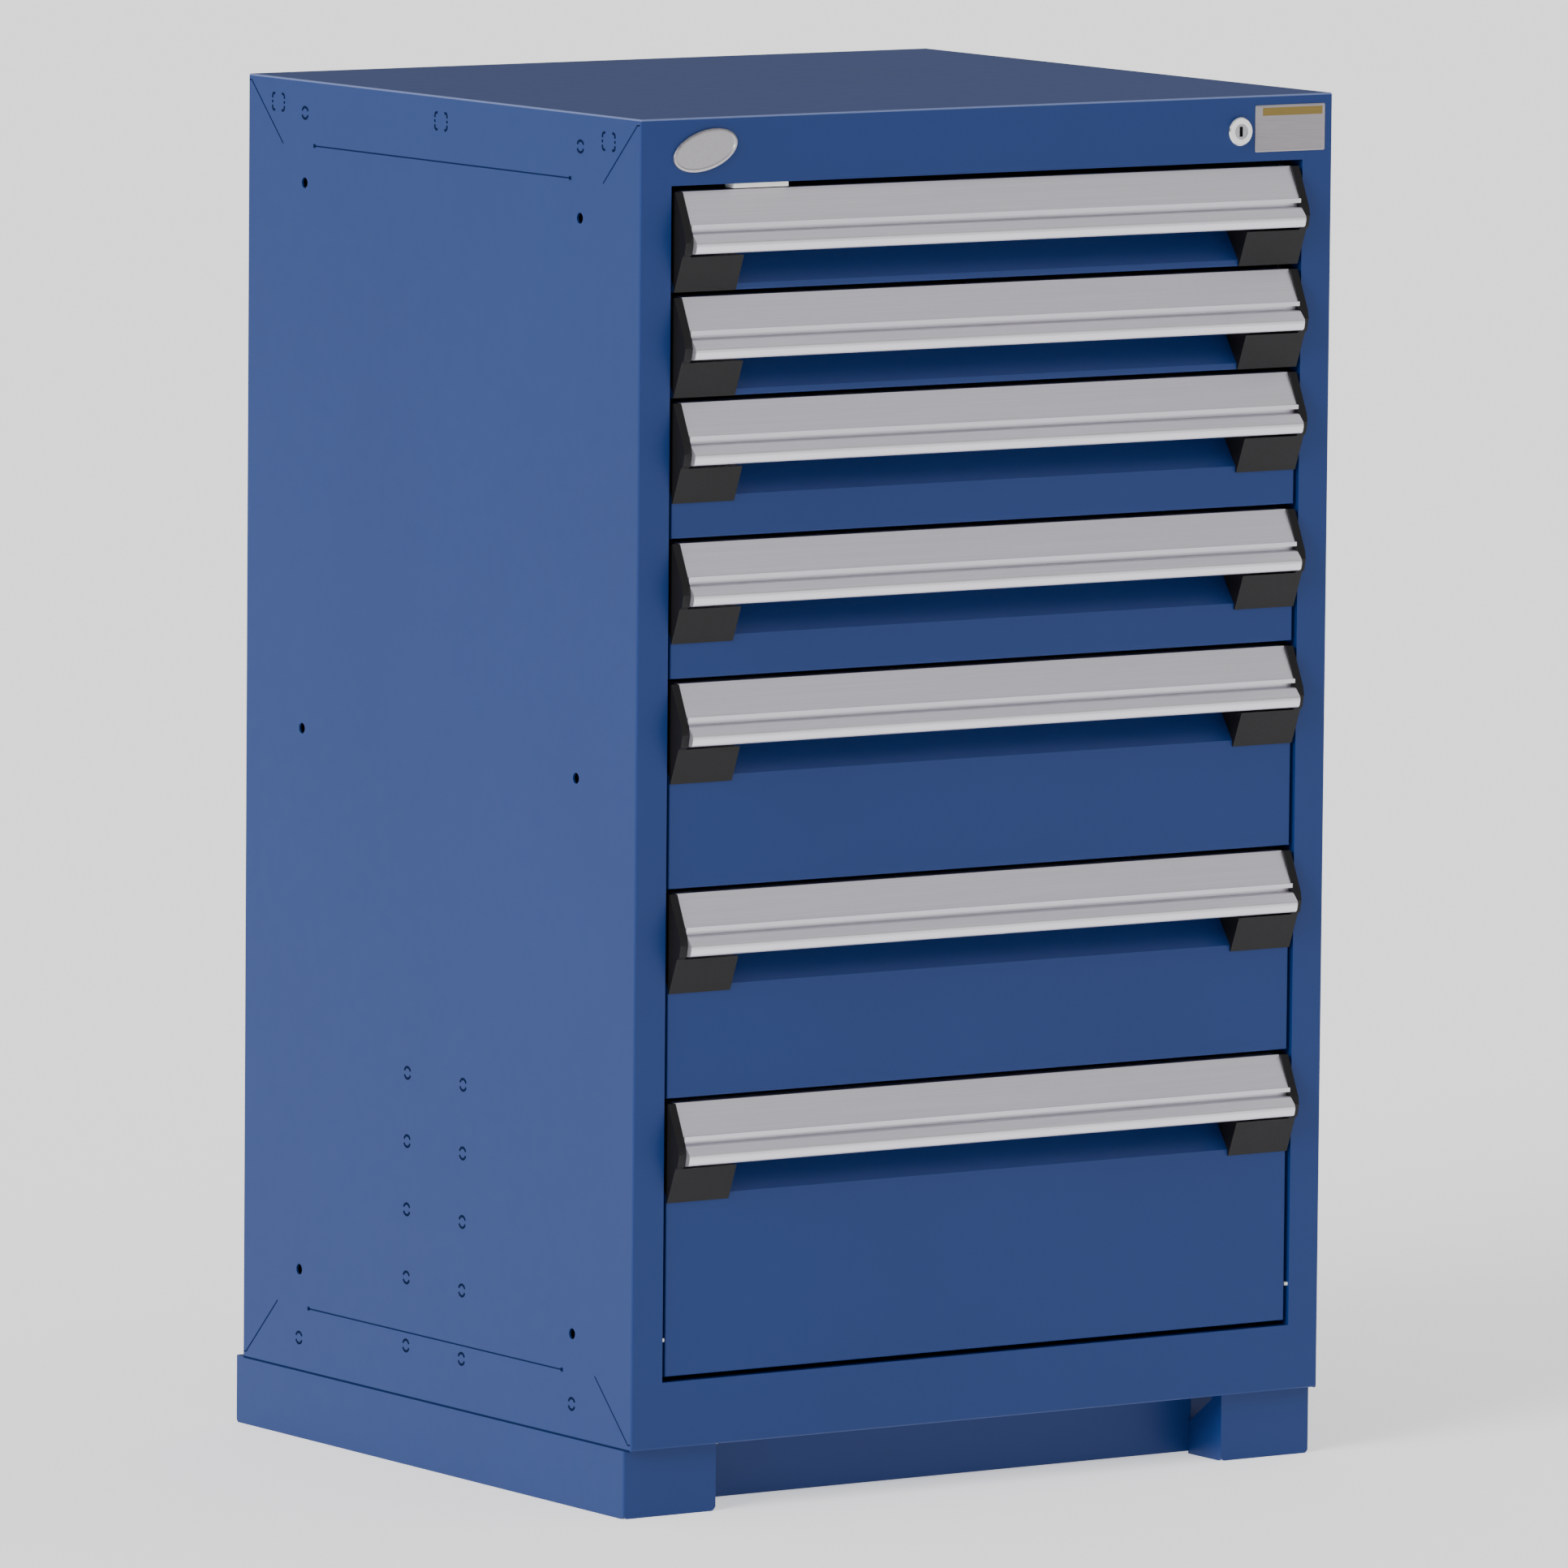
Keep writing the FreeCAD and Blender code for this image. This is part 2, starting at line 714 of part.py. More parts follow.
def base_side(name, side):
    """One side channel of the base with a foot at its front and at its rear."""
    piece = Piece(name, "0")
    front = "base_setback"
    rear = "(base_setback + housing_depth)"
    inner = HALF + " - foot_width"
    start, end = HALF + " - base_gauge", HALF
    if side == LEFT:
        start, end = "-(" + HALF + ")", "-(" + HALF + " - base_gauge)"
    plate = [
        (front + " + base_relief", "0"),
        (rear + " - base_relief", "0"),
        (rear, "base_relief"),
        (rear, "base_height"),
        (front, "base_height"),
        (front, "base_relief"),
    ]
    piece.slab("YZ_Plane", start, end, plate)
    sheet_edge = on_side(side, inner)
    outer = on_side(side, HALF)
    top = box(outer, sheet_edge, front, rear)
    piece.slab("XY_Plane", "base_height - base_gauge", "base_height", top)
    rim = on_side(side, HALF + " - base_rim")
    bottom = box(outer, rim, front + " + base_relief", rear + " - base_relief")
    piece.slab("XY_Plane", "0", "base_gauge", bottom)
    face = [
        (on_side(side, HALF + " - base_relief"), "0"),
        (on_side(side, inner + " + base_relief"), "0"),
        (sheet_edge, "base_relief"),
        (sheet_edge, "base_height"),
        (outer, "base_height"),
        (outer, "base_relief"),
    ]
    piece.slab("XZ_Plane", front, front + " + base_gauge", face)
    piece.slab("XZ_Plane", rear + " - base_gauge", rear, face)
    start, end = inner, inner + " + base_gauge"
    if side == LEFT:
        start, end = "-(" + inner + " + base_gauge)", "-(" + inner + ")"
    roof = "base_height - base_gauge"
    web = [
        ("base_relief", "0"),
        ("foot_depth", "0"),
        ("foot_depth", "base_height - foot_chamfer_foot"),
        ("foot_chamfer_start", "base_height - foot_chamfer_drop"),
        ("foot_chamfer_start", roof),
        ("0", roof),
        ("0", "base_relief"),
    ]
    front_web = [(front + " + " + y, z) for y, z in web]
    rear_web = [(rear + " - " + y, z) for y, z in web]
    piece.slab("YZ_Plane", start, end, front_web, rear_web)
    holes = base_screw_squares("(screw_neck_width / 2 + screw_hole_clearance)")
    holes = holes[2:] if side == RIGHT else holes[:2]
    low = "base_height - 2 * base_gauge"
    piece.cut("XY_Plane", low, "base_height + base_gauge", *holes)
    corners = [(outer, front), (outer, rear)]
    piece.fillet("housing_corner_radius", ("Z", corners))
    piece.finish()


def base_covers():
    """The two like covers that close the base between its feet, each with one cut corner."""
    pieces = []
    across = "(" + HALF + " - foot_width + base_gauge)"
    inner = HALF + " - foot_width"
    top = "base_height"
    roof = "base_height - base_gauge"
    shoulder = "(cover_notch_half_width + cover_notch_slant)"
    front = "base_setback + foot_depth"
    rear = "base_setback + housing_depth - foot_depth"
    places = (
        ("front", LEFT, RIGHT, front, front + " + base_gauge", front + " + cover_rim"),
        ("rear", RIGHT, LEFT, rear, rear + " - base_gauge", rear + " - cover_rim"),
    )
    for name, cut_side, whole_side, face, inner_face, rim_end in places:
        outline = [
            (on_side(cut_side, across), "cover_floor_gap"),
            (on_side(whole_side, across), "cover_floor_gap"),
            (on_side(whole_side, across), roof),
            (on_side(whole_side, inner), roof),
            (on_side(whole_side, inner), top),
            (on_side(cut_side, "cover_notch_half_width"), top),
            (on_side(cut_side, shoulder), top + " - cover_notch_height"),
            (on_side(cut_side, across), top + " - cover_notch_height"),
        ]
        piece = Piece("base_cover_" + name)
        near, far = sorted((face, inner_face), key=value)
        piece.slab("XZ_Plane", near, far, outline)
        near, far = sorted((face, rim_end), key=value)
        rim = box("-cover_notch_half_width", "cover_notch_half_width", near, far)
        piece.slab("XY_Plane", top + " - base_gauge", top, rim)
        pieces.append(piece)
    group("base_covers", pieces, "0")


def lock():
    """The lock barrel in the header, the plug that the key turns, and its cam."""
    barrel = Piece("lock_barrel")
    face = "-lock_bezel_thickness"
    bezel = ("lock_x", "lock_z", "lock_bezel_radius")
    barrel.slab("XZ_Plane", face, "0", bezel)
    body = ("lock_x", "lock_z", "lock_body_radius")
    barrel.slab("XZ_Plane", "0", "lock_body_length", body)
    nut = regular("lock_x", "lock_z", "lock_nut_radius", 6)
    barrel.slab("XZ_Plane", "housing_gauge", "housing_gauge + lock_nut_thickness", nut)
    bore = ("lock_x", "lock_z", "lock_bore_radius")
    barrel.cut("XZ_Plane", "-2 * lock_bezel_thickness", "2 * lock_body_length", bore)
    barrel.chamfer_circles("lock_bezel_chamfer", "lock_bezel_radius", face)
    barrel.finish()

    plug = Piece("lock_plug")
    front = "(plug_recess - lock_bezel_thickness)"
    rear = "(lock_body_length + cam_gap)"
    core = ("lock_x", "lock_z", "lock_bore_radius - lock_running_clearance")
    plug.slab("XZ_Plane", front, rear, core)
    keyway = box(
        "lock_x - keyway_width / 2",
        "lock_x + keyway_width / 2",
        "lock_z - keyway_height / 2",
        "lock_z + keyway_height / 2",
    )
    plug.cut("XZ_Plane", front + " - plug_recess", front + " + keyway_depth", keyway)
    plug.finish()

    cam = Piece("lock_cam")
    slant = "cos(45) * "
    pin_x = "(lock_x + " + slant + "cam_radius)"
    pin_z = "(lock_z - " + slant + "cam_radius)"
    plate = [
        ("lock_x + " + slant + "cam_root_radius", "lock_z + " + slant + "cam_root_radius"),
        (pin_x + " + " + slant + "cam_tip_radius", pin_z + " + " + slant + "cam_tip_radius"),
        (pin_x + " - " + slant + "cam_tip_radius", pin_z + " - " + slant + "cam_tip_radius"),
        ("lock_x - " + slant + "cam_root_radius", "lock_z - " + slant + "cam_root_radius"),
    ]
    cam_rear = rear + " + cam_gauge"
    cam.slab("XZ_Plane", rear, cam_rear, plate)
    cam.slab("XZ_Plane", rear, cam_rear, ("lock_x", "lock_z", "cam_root_radius"))
    cam.slab("XZ_Plane", rear, cam_rear, (pin_x, pin_z, "cam_tip_radius"))
    pin_rear = cam_rear + " + cam_pin_length"
    cam.slab("XZ_Plane", cam_rear, pin_rear, (pin_x, pin_z, "cam_pin_radius"))
    cam.finish()


def lock_bar():
    """The bar that the cam lifts, with its slotted arm, hooks and guides."""
    pin_z = "(lock_z - cos(45) * cam_radius)"
    top = pin_z + " + arm_height / 2"
    strip = Piece("lock_bar_strip")
    outline = box("bar_inner", "bar_inner + bar_width", "bar_foot", top)
    strip.slab("XZ_Plane", "bar_front", BAR_REAR, outline)
    arm = Piece("lock_bar_arm")
    outline = box("arm_inner", "bar_inner", pin_z + " - arm_height / 2", top)
    arm.slab("XZ_Plane", "bar_front", BAR_REAR, outline)
    slot = box(
        "arm_slot_inner",
        "arm_slot_inner + arm_slot_width",
        pin_z + " - arm_slot_height / 2",
        pin_z + " + arm_slot_height / 2",
    )
    arm.cut("XZ_Plane", "bar_front - bar_gauge", BAR_REAR + " + bar_gauge", slot)
    group("lock_bar", [strip, arm], "base_height")

    hooks = Piece("lock_hooks")
    outlines = []
    for number in DRAWERS:
        low = stack_level(number) + " + hook_rest"
        outlines.append(box("hook_inner", "bar_inner", low, low + " + hook_height"))
    hooks.slab("XZ_Plane", "bar_front", BAR_REAR, *outlines)
    hooks.finish()

    guides = Piece("lock_bar_guides")
    near = "(bar_front - guide_gap)"
    far = "(" + BAR_REAR + " + guide_gap)"
    clip = [
        ("guide_inner", near + " - guide_gauge"),
        (WALL, near + " - guide_gauge"),
        (WALL, far + " + guide_gauge"),
        ("guide_inner", far + " + guide_gauge"),
        ("guide_inner", far),
        (WALL + " - guide_gauge", far),
        (WALL + " - guide_gauge", near),
        ("guide_inner", near),
    ]
    for row in range(3):
        low = "guide_low + %d * guide_pitch" % row
        guides.slab("XY_Plane", low, low + " + guide_height", clip)
    guides.finish()


def nylon_glides():
    """The white strip under the header and a small pad on each stile."""
    piece = Piece("nylon_glides")
    rear = "strip_front + strip_depth"
    strip = box("strip_left", "strip_left + strip_length", "strip_front", rear)
    piece.slab("XY_Plane", HEADER_FOOT + " - strip_height", HEADER_FOOT, strip)
    pads = []
    for side in SIDES:
        outer = on_side(side, OPENING)
        inner = on_side(side, OPENING + " - pad_size")
        pads.append(box(outer, inner, "face_setback", "face_setback + pad_depth"))
    piece.slab("XY_Plane", "pad_low", "pad_low + pad_size", *pads)
    piece.finish()


def drawer_box(number, level, face):
    """The box with its welded rails, rear stops and the catch that the lock holds."""
    piece = Piece("drawer_%d_box" % number, level)
    rim = "(" + face + " - box_top_gap)"
    trough = [
        (BOX_FRONT, "box_floor"),
        (BOX_REAR, "box_floor"),
        (BOX_REAR, rim),
        (BOX_REAR + " - box_gauge", rim),
        (BOX_REAR + " - box_gauge", "box_floor + box_gauge"),
        (BOX_FRONT + " + box_gauge", "box_floor + box_gauge"),
        (BOX_FRONT + " + box_gauge", rim),
        (BOX_FRONT, rim),
    ]
    piece.slab("YZ_Plane", "-" + BOX_OUTER, BOX_OUTER, trough)
    walls = []
    for side in SIDES:
        outline = [
            (on_side(side, "box_inner_half_width"), "box_floor"),
            (on_side(side, BOX_OUTER), "box_floor"),
            (on_side(side, BOX_OUTER), rim + " - box_gauge"),
            (on_side(side, BOX_OUTER + " + box_hem"), rim + " - box_gauge"),
            (on_side(side, BOX_OUTER + " + box_hem"), rim),
            (on_side(side, "box_inner_half_width"), rim),
        ]
        walls.append(outline)
    piece.slab("XZ_Plane", BOX_FRONT, BOX_REAR, *walls)
    tip = "(" + BOX_OUTER + " + channel_flange)"
    rails = [channel(side, BOX_OUTER, tip, "slide_height") for side in SIDES]
    piece.slab("XZ_Plane", "rail_front", "drawer_rail_rear", *rails)
    tabs = [stop_tab(side, BOX_OUTER, tip, "slide_height") for side in SIDES]
    piece.slab("XZ_Plane", "drawer_rail_rear - channel_gauge", "drawer_rail_rear", *tabs)
    catch = box(BOX_OUTER, "catch_reach", "catch_front", "catch_front + catch_length")
    piece.slab("XY_Plane", "catch_height", "catch_height + channel_gauge", catch)
    piece.finish()


def drawer_front(number, level, face):
    """The folded front sheet, set back behind the handle and returned at its edges."""
    piece = Piece("drawer_%d_front" % number, level)
    top = "(" + face + " - face_top_gap)"
    bend = "(" + face + " - recess_height)"
    foot = "(" + face + " - recess_slope_foot)"
    run = "(recess_depth - face_setback)"
    drop = "(recess_slope_foot - recess_height)"
    shift = "front_gauge * tan(atan(" + run + " / " + drop + ") / 2)"
    rear = "face_setback + front_return_depth"
    section = [
        ("recess_depth", top),
        ("recess_depth", bend),
        ("face_setback", foot),
        ("face_setback", "face_bottom_gap"),
        (rear, "face_bottom_gap"),
        (rear, "face_bottom_gap + front_gauge"),
        ("face_setback + front_gauge", "face_bottom_gap + front_gauge"),
        ("face_setback + front_gauge", foot + " - " + shift),
        ("recess_depth + front_gauge", bend + " - " + shift),
        ("recess_depth + front_gauge", top),
    ]
    piece.slab("YZ_Plane", "-front_half_width", "front_half_width", section)
    cheek = [
        ("face_setback", "face_bottom_gap"),
        (rear, "face_bottom_gap"),
        (rear, foot + " + front_return_depth * " + drop + " / " + run),
        ("face_setback", foot),
    ]
    piece.slab_pair("front_half_width - front_gauge", "front_half_width", cheek)
    edges = [("-front_half_width", "face_setback"), ("front_half_width", "face_setback")]
    lower = [("face_setback", "face_bottom_gap")]
    piece.fillet("front_fold_radius", ("Z", edges), ("X", lower))
    piece.finish()


def drawer_handle(number, level, face):
    """The extruded handle: label face, ledge, groove and lip, open from below."""
    piece = Piece("drawer_%d_handle" % number, level)

    def down(text):
        return face + " - " + text

    lean = "(handle_brow + label_foot_reach) / (label_foot_drop - face_top_gap)"
    slant = "handle_wall / cos(atan(" + lean + "))"
    lead = lean + " * handle_wall"
    roof = "face_top_gap + handle_wall"
    section = [
        ("recess_depth", down("face_top_gap")),
        ("handle_brow", down("face_top_gap")),
        ("-label_foot_reach", down("label_foot_drop")),
        ("-ledge_reach", down("label_foot_drop")),
        ("-ledge_reach", down("ledge_foot_drop")),
        ("-groove_reach", down("ledge_foot_drop")),
        ("-groove_reach", down("groove_foot_drop")),
        ("-lip_top_reach", down("groove_foot_drop")),
        ("-handle_reach", down("nose_top_drop")),
        ("-handle_reach", down("nose_foot_drop")),
        ("-lip_foot_reach", down("lip_foot_drop")),
        ("-lip_rear_reach", down("lip_foot_drop")),
        ("-lip_rear_reach", down("groove_foot_drop")),
        ("handle_wall - groove_reach", down("ledge_foot_drop")),
        (slant + " - label_foot_reach + " + lead, down("(label_foot_drop - handle_wall)")),
        (slant + " + handle_brow - " + lead, down("(" + roof + ")")),
        ("recess_depth - handle_wall", down("(" + roof + ")")),
        ("recess_depth - handle_wall", down("lip_foot_drop")),
        ("recess_depth", down("lip_foot_drop")),
    ]
    piece.slab("YZ_Plane", "-handle_half_width", "handle_half_width", section)
    rounded = [
        ("-lip_top_reach", down("groove_foot_drop")),
        ("-handle_reach", down("nose_top_drop")),
        ("-handle_reach", down("nose_foot_drop")),
        ("-lip_foot_reach", down("lip_foot_drop")),
    ]
    piece.fillet("lip_radius", ("X", rounded))
    piece.finish()


def drawer_end_caps(number, level, face):
    """The moulded caps at both ends of the handle, each with a wedge under the lip."""
    piece = Piece("drawer_%d_end_caps" % number, level)

    def down(text):
        return face + " - " + text

    foot = [
        ("-wedge_reach", down("wedge_drop")),
        ("wedge_foot_set", down("wedge_foot_drop")),
        ("face_setback", down("wedge_foot_drop")),
        ("face_setback", down("recess_slope_foot")),
        ("recess_depth", down("recess_height")),
    ]
    plate = [
        ("recess_depth", down("face_top_gap")),
        ("0", down("face_top_gap")),
        ("-cap_brow_drop_reach", down("cap_brow_drop")),
        ("-cap_nose_reach", down("cap_nose_drop")),
        ("-cap_foot_reach", down("cap_foot_drop")),
    ]
    piece.slab_pair("handle_half_width", "front_half_width", plate + foot)
    piece.slab_pair("wedge_inner_half_width", "handle_half_width", foot)
    piece.finish()


def carriage(number, level):
    """The two plates between the channels and the eight rollers that they carry."""
    plates = Piece("drawer_%d_carriages" % number, level)
    inner = "(carriage_half_gap - carriage_gauge / 2)"
    outer = "(carriage_half_gap + carriage_gauge / 2)"
    low = "slide_height - carriage_height / 2"
    high = "slide_height + carriage_height / 2"
    outline = cut_corners("carriage_front", "carriage_rear", low, high, "carriage_corner")
    plates.slab_pair(inner, outer, outline)
    plates.finish()

    rollers = Piece("drawer_%d_rollers" % number, level)
    last = "drawer_rail_rear - channel_gauge - stop_clearance - roller_radius"
    rear_inner_roller = last + " - drawer_travel / 2"
    outer_places = ("front_outer_roller", "rear_outer_roller")
    inner_places = ("front_inner_roller", rear_inner_roller)
    web = "(" + OPENING + " - channel_gauge)"
    discs = [regular(y, "slide_height", "roller_radius", 12) for y in outer_places]
    rollers.slab_pair(outer, web + " - roller_side_gap", *discs)
    web = "(" + BOX_OUTER + " + channel_gauge)"
    discs = [regular(y, "slide_height", "roller_radius", 12) for y in inner_places]
    rollers.slab_pair(web + " + roller_side_gap", inner, *discs)
    rollers.finish()


pan("top_panel", True)
pan("bottom_panel", False)
side_panel("side_panel_left", LEFT)
side_panel("side_panel_right", RIGHT)
back_panel()
uprights()
fixed_rails()
housing_screws()
base_side("base_side_left", LEFT)
base_side("base_side_right", RIGHT)
base_covers()
lock()
lock_bar()
nylon_glides()
for drawer in DRAWERS:
    drawer_level = "base_height + " + stack_level(drawer)
    drawer_face = "drawer_%d_face" % drawer
    drawer_box(drawer, drawer_level, drawer_face)
    drawer_front(drawer, drawer_level, drawer_face)
    drawer_handle(drawer, drawer_level, drawer_face)
    drawer_end_caps(drawer, drawer_level, drawer_face)
    carriage(drawer, drawer_level)

doc.recompute()
for item in doc.Objects:
    if "Invalid" in item.State or "Error" in item.State:
        raise ValueError(item.Name + " " + item.Label + " is not valid")
    if item.TypeId == "PartDesign::Pocket":
        before = item.BaseFeature.Shape.Volume
        if item.Shape.Volume > before - 0.01:
            raise ValueError(item.Name + " cuts nothing")
for item in finished:
    if item.Shape.isNull() or not item.Shape.isValid():
        raise ValueError(item.Label + " has no valid shape")
    item.Shape.exportStep("parts/" + item.Label + ".step")
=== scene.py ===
import math

import bmesh
import bpy
import numpy as np
from mathutils import Matrix, Vector


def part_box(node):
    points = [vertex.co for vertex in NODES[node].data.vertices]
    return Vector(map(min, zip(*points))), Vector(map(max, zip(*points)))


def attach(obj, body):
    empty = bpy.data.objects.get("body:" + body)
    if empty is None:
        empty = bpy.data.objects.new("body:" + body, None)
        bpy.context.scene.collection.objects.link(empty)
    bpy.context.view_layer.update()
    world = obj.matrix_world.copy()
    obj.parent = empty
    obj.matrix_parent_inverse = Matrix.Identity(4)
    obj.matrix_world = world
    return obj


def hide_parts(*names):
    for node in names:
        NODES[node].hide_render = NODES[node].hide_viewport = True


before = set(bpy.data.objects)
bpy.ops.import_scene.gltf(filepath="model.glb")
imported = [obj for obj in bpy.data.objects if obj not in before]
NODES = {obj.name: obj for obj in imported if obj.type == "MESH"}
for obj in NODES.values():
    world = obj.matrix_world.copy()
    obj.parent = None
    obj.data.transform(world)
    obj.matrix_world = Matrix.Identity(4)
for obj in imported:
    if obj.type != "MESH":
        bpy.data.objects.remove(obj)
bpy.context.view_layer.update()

bl_info = {
    "name": "Modular drawer cabinet",
    "version": (1, 0, 0),
    "blender": (4, 5, 0),
    "location": "View3D > Sidebar > Cabinet",
    "description": "Finishes and small fittings of a steel drawer cabinet",
    "category": "Object",
}

DRAWERS = range(1, 8)
MM = 0.001
# Corners closer than this are one corner
SAME_PLACE = 1e-6
# Edges that turn by more than this stay sharp under smooth shading
SHARP_EDGE = math.radians(35)
# A mottled pattern lies almost wholly between these two values
PATTERN_ENDS = (0.3, 0.7)
# How far a dark line of painted shade stands before its wall, and how deep it is let in
LINE_RISE = 0.06 * MM
LINE_DEPTH = 0.5 * MM
# Millimetres, more than half of any plate, so that its rings close at the middle
TO_THE_MIDDLE = 40.0


def linear(code):
    """The linear colour of an sRGB hex code."""
    parts = np.array([int(code[i : i + 2], 16) for i in (1, 3, 5)]) / 255
    low = parts / 12.92
    high = ((parts + 0.055) / 1.055) ** 2.4
    return tuple(float(v) for v in np.where(parts <= 0.04045, low, high))


def colour(name, code, text):
    """A colour setting whose default is an sRGB hex code."""
    return bpy.props.FloatVectorProperty(
        name=name, description=text, subtype="COLOR", size=3, min=0, max=1, default=linear(code)
    )


def length(name, millimetres, text):
    """A length setting, kept in metres."""
    return bpy.props.FloatProperty(
        name=name, description=text, unit="LENGTH", subtype="DISTANCE", default=millimetres * MM
    )


# Settings


class CabinetFinishSettings(bpy.types.PropertyGroup):
    """Colours of the cabinet's finishes, of its lines of painted shade and of the painted highlight on
    the top's folds.
    """

    paint: colour("Cabinet paint", "#11316E", "Powder coat of the housing, base and fronts")
    box_paint: colour("Box paint", "#B9BBBC", "Powder coat of the drawer boxes")
    handle: colour("Handle", "#E9E6EE", "Anodised aluminium of the handles")
    cap: colour("End caps", "#111013", "Moulded plastic of the handles' end caps")
    zinc: colour("Zinc", "#B4B8BB", "Zinc plating of rails, lock bar and screws")
    steel: colour("Rollers", "#A9AAAD", "Ground steel of the rollers")
    chrome: colour("Lock", "#EDEDEE", "Chrome of the lock's barrel")
    plug: colour("Lock plug", "#A6A7AA", "Nickel of the plug that the key turns")
    nylon: colour("Nylon", "#F4F4F0", "Glide strip and pads")
    badge: colour("Badge", "#B9B6BA", "Plain cast badge on the header")
    label: colour("Label plate", "#A39EA4", "Printed aluminium plate beside the lock")
    band: colour("Label band", "#8C7740", "Plain band along the top of the label plate")
    # A paler blue painted along the top's folds as a highlight
    fold_highlight: colour("Fold", "#6C7BAA", "Thin coat along the folds of the top")
    knockout: colour("Knock-outs", "#07183A", "Shadow in the punched lines of the knock-outs")
    seam: colour("Seams", "#0B2048", "Shadow in the seams between the sheets")


class CabinetFittingSettings(bpy.types.PropertyGroup):
    """Sizes of the small fittings."""

    badge_x: length("Badge across", -249.8, "Middle of the badge from the cabinet's middle plane")
    badge_z: length("Badge height", 992.3, "Middle of the badge above the floor")
    badge_long: length("Badge length", 56.0, "Long axis of the oval")
    badge_short: length("Badge width", 29.0, "Short axis of the oval")
    badge_tilt: bpy.props.FloatProperty(
        name="Badge tilt", description="Turn of the long axis", subtype="ANGLE", default=math.radians(15)
    )
    label_x: length("Label across", 266.2, "Middle of the label plate")
    label_z: length("Label height", 991.4, "Middle of the label plate above the floor")
    label_width: length("Label width", 62.7, "Width of the label plate")
    label_height: length("Label height", 34.5, "Height of the label plate")
    mitre_reach: length("Mitre reach", 49.0, "Where the mitres end, from each edge of the side")
    seam_blind: length("Seam inset", 92.7, "Where the seams between sheets start")
    seam_line: length("Seam line", 1.1, "Width of the line that a seam shows")
    joint_line: length("Joint line", 1.6, "Width of the line between housing and base")
    knockout_radius: length("Knock-out radius", 4.3, "Radius of a round knock-out")
    knockout_line: length("Knock-out line", 1.9, "Width of the punched line")


class CabinetStageSettings(bpy.types.PropertyGroup):
    """Light of the studio."""

    key: bpy.props.FloatProperty(name="Key light", description="Strength of the key", default=2.45)
    key_spread: bpy.props.FloatProperty(
        name="Key spread", description="Width of the key", subtype="ANGLE", default=math.radians(28)
    )
    sky: bpy.props.FloatProperty(name="Sky light", description="Strength of the dome", default=0.80)
    glow: bpy.props.FloatProperty(
        name="Floor glow", description="Light that the studio table itself gives", default=0.75
    )
    floor: colour("Floor", "#FAFAFA", "Pale studio floor")


# Node tools


def add_node(tree, kind, settings=None, links=None, values=None):
    """Adds a node, sets its fields and its sockets, and links its inputs."""
    node = tree.nodes.new(kind)
    for field, value in (settings or {}).items():
        setattr(node, field, value)
    for socket, value in (values or {}).items():
        node.inputs[socket].default_value = value
    for socket, source in (links or {}).items():
        tree.links.new(source, node.inputs[socket])
    return node


def new_material(name):
    """An empty material with its tree, its shader and Object coordinates."""
    material = bpy.data.materials.new(name)
    material.use_nodes = True
    tree = material.node_tree
    tree.nodes.clear()
    shader = add_node(tree, "ShaderNodeBsdfPrincipled")
    add_node(tree, "ShaderNodeOutputMaterial", links={"Surface": shader.outputs["BSDF"]})
    place = add_node(tree, "ShaderNodeTexCoord").outputs["Object"]
    return material, tree, shader, place


def tint(tree, shader, base, pattern, dark, light):
    """Colours the shader between a darker and a lighter shade of its base by a pattern."""
    ramp = add_node(tree, "ShaderNodeValToRGB", links={"Fac": pattern})
    for element, place, shade in zip(ramp.color_ramp.elements, PATTERN_ENDS, (dark, light)):
        element.position = place
        element.color = [min(1, part * shade) for part in base] + [1]
    tree.links.new(ramp.outputs["Color"], shader.inputs["Base Color"])


def vary_roughness(tree, shader, pattern, low, high):
    """Lets the roughness follow a pattern between two values."""
    ends = {"From Min": PATTERN_ENDS[0], "From Max": PATTERN_ENDS[1], "To Min": low, "To Max": high}
    spread = add_node(tree, "ShaderNodeMapRange", values=ends, links={"Value": pattern})
    tree.links.new(spread.outputs["Result"], shader.inputs["Roughness"])


def raise_surface(tree, shader, pattern, strength, height):
    """Bends the shader's normal by a pattern of this height in millimetres."""
    bump = add_node(
        tree,
        "ShaderNodeBump",
        values={"Strength": strength, "Distance": height * MM},
        links={"Height": pattern},
    )
    tree.links.new(bump.outputs["Normal"], shader.inputs["Normal"])


def mottle(tree, place, size, detail=2.0, stretch=(1.0, 1.0, 1.0)):
    """A mottled pattern with blotches this many millimetres across, longer where stretch is small."""
    drawn = add_node(tree, "ShaderNodeMapping", values={"Scale": stretch}, links={"Vector": place})
    node = add_node(
        tree,
        "ShaderNodeTexNoise",
        values={"Scale": 1 / (size * MM), "Detail": detail},
        links={"Vector": drawn.outputs["Vector"]},
    )
    return node.outputs["Fac"]


# Finishes


def powder_coat(name, base, rough):
    """Polyester powder coat, sprayed and baked: a satin skin with a faint orange peel."""
    material, tree, shader, place = new_material(name)
    shader.inputs["Specular IOR Level"].default_value = 0.35
    clouds = mottle(tree, place, size=160.0, detail=3.0)
    tint(tree, shader, base, clouds, dark=0.975, light=1.025)
    spots = mottle(tree, place, size=14.0, detail=4.0)
    vary_roughness(tree, shader, spots, low=rough - 0.01, high=rough + 0.02)
    # The peel's lumps are about 1.5 mm apart and are drawn at 2.2 mm so that they show.
    peel = mottle(tree, place, size=2.2, detail=1.0)
    raise_surface(tree, shader, peel, strength=0.12, height=0.06)
    return material


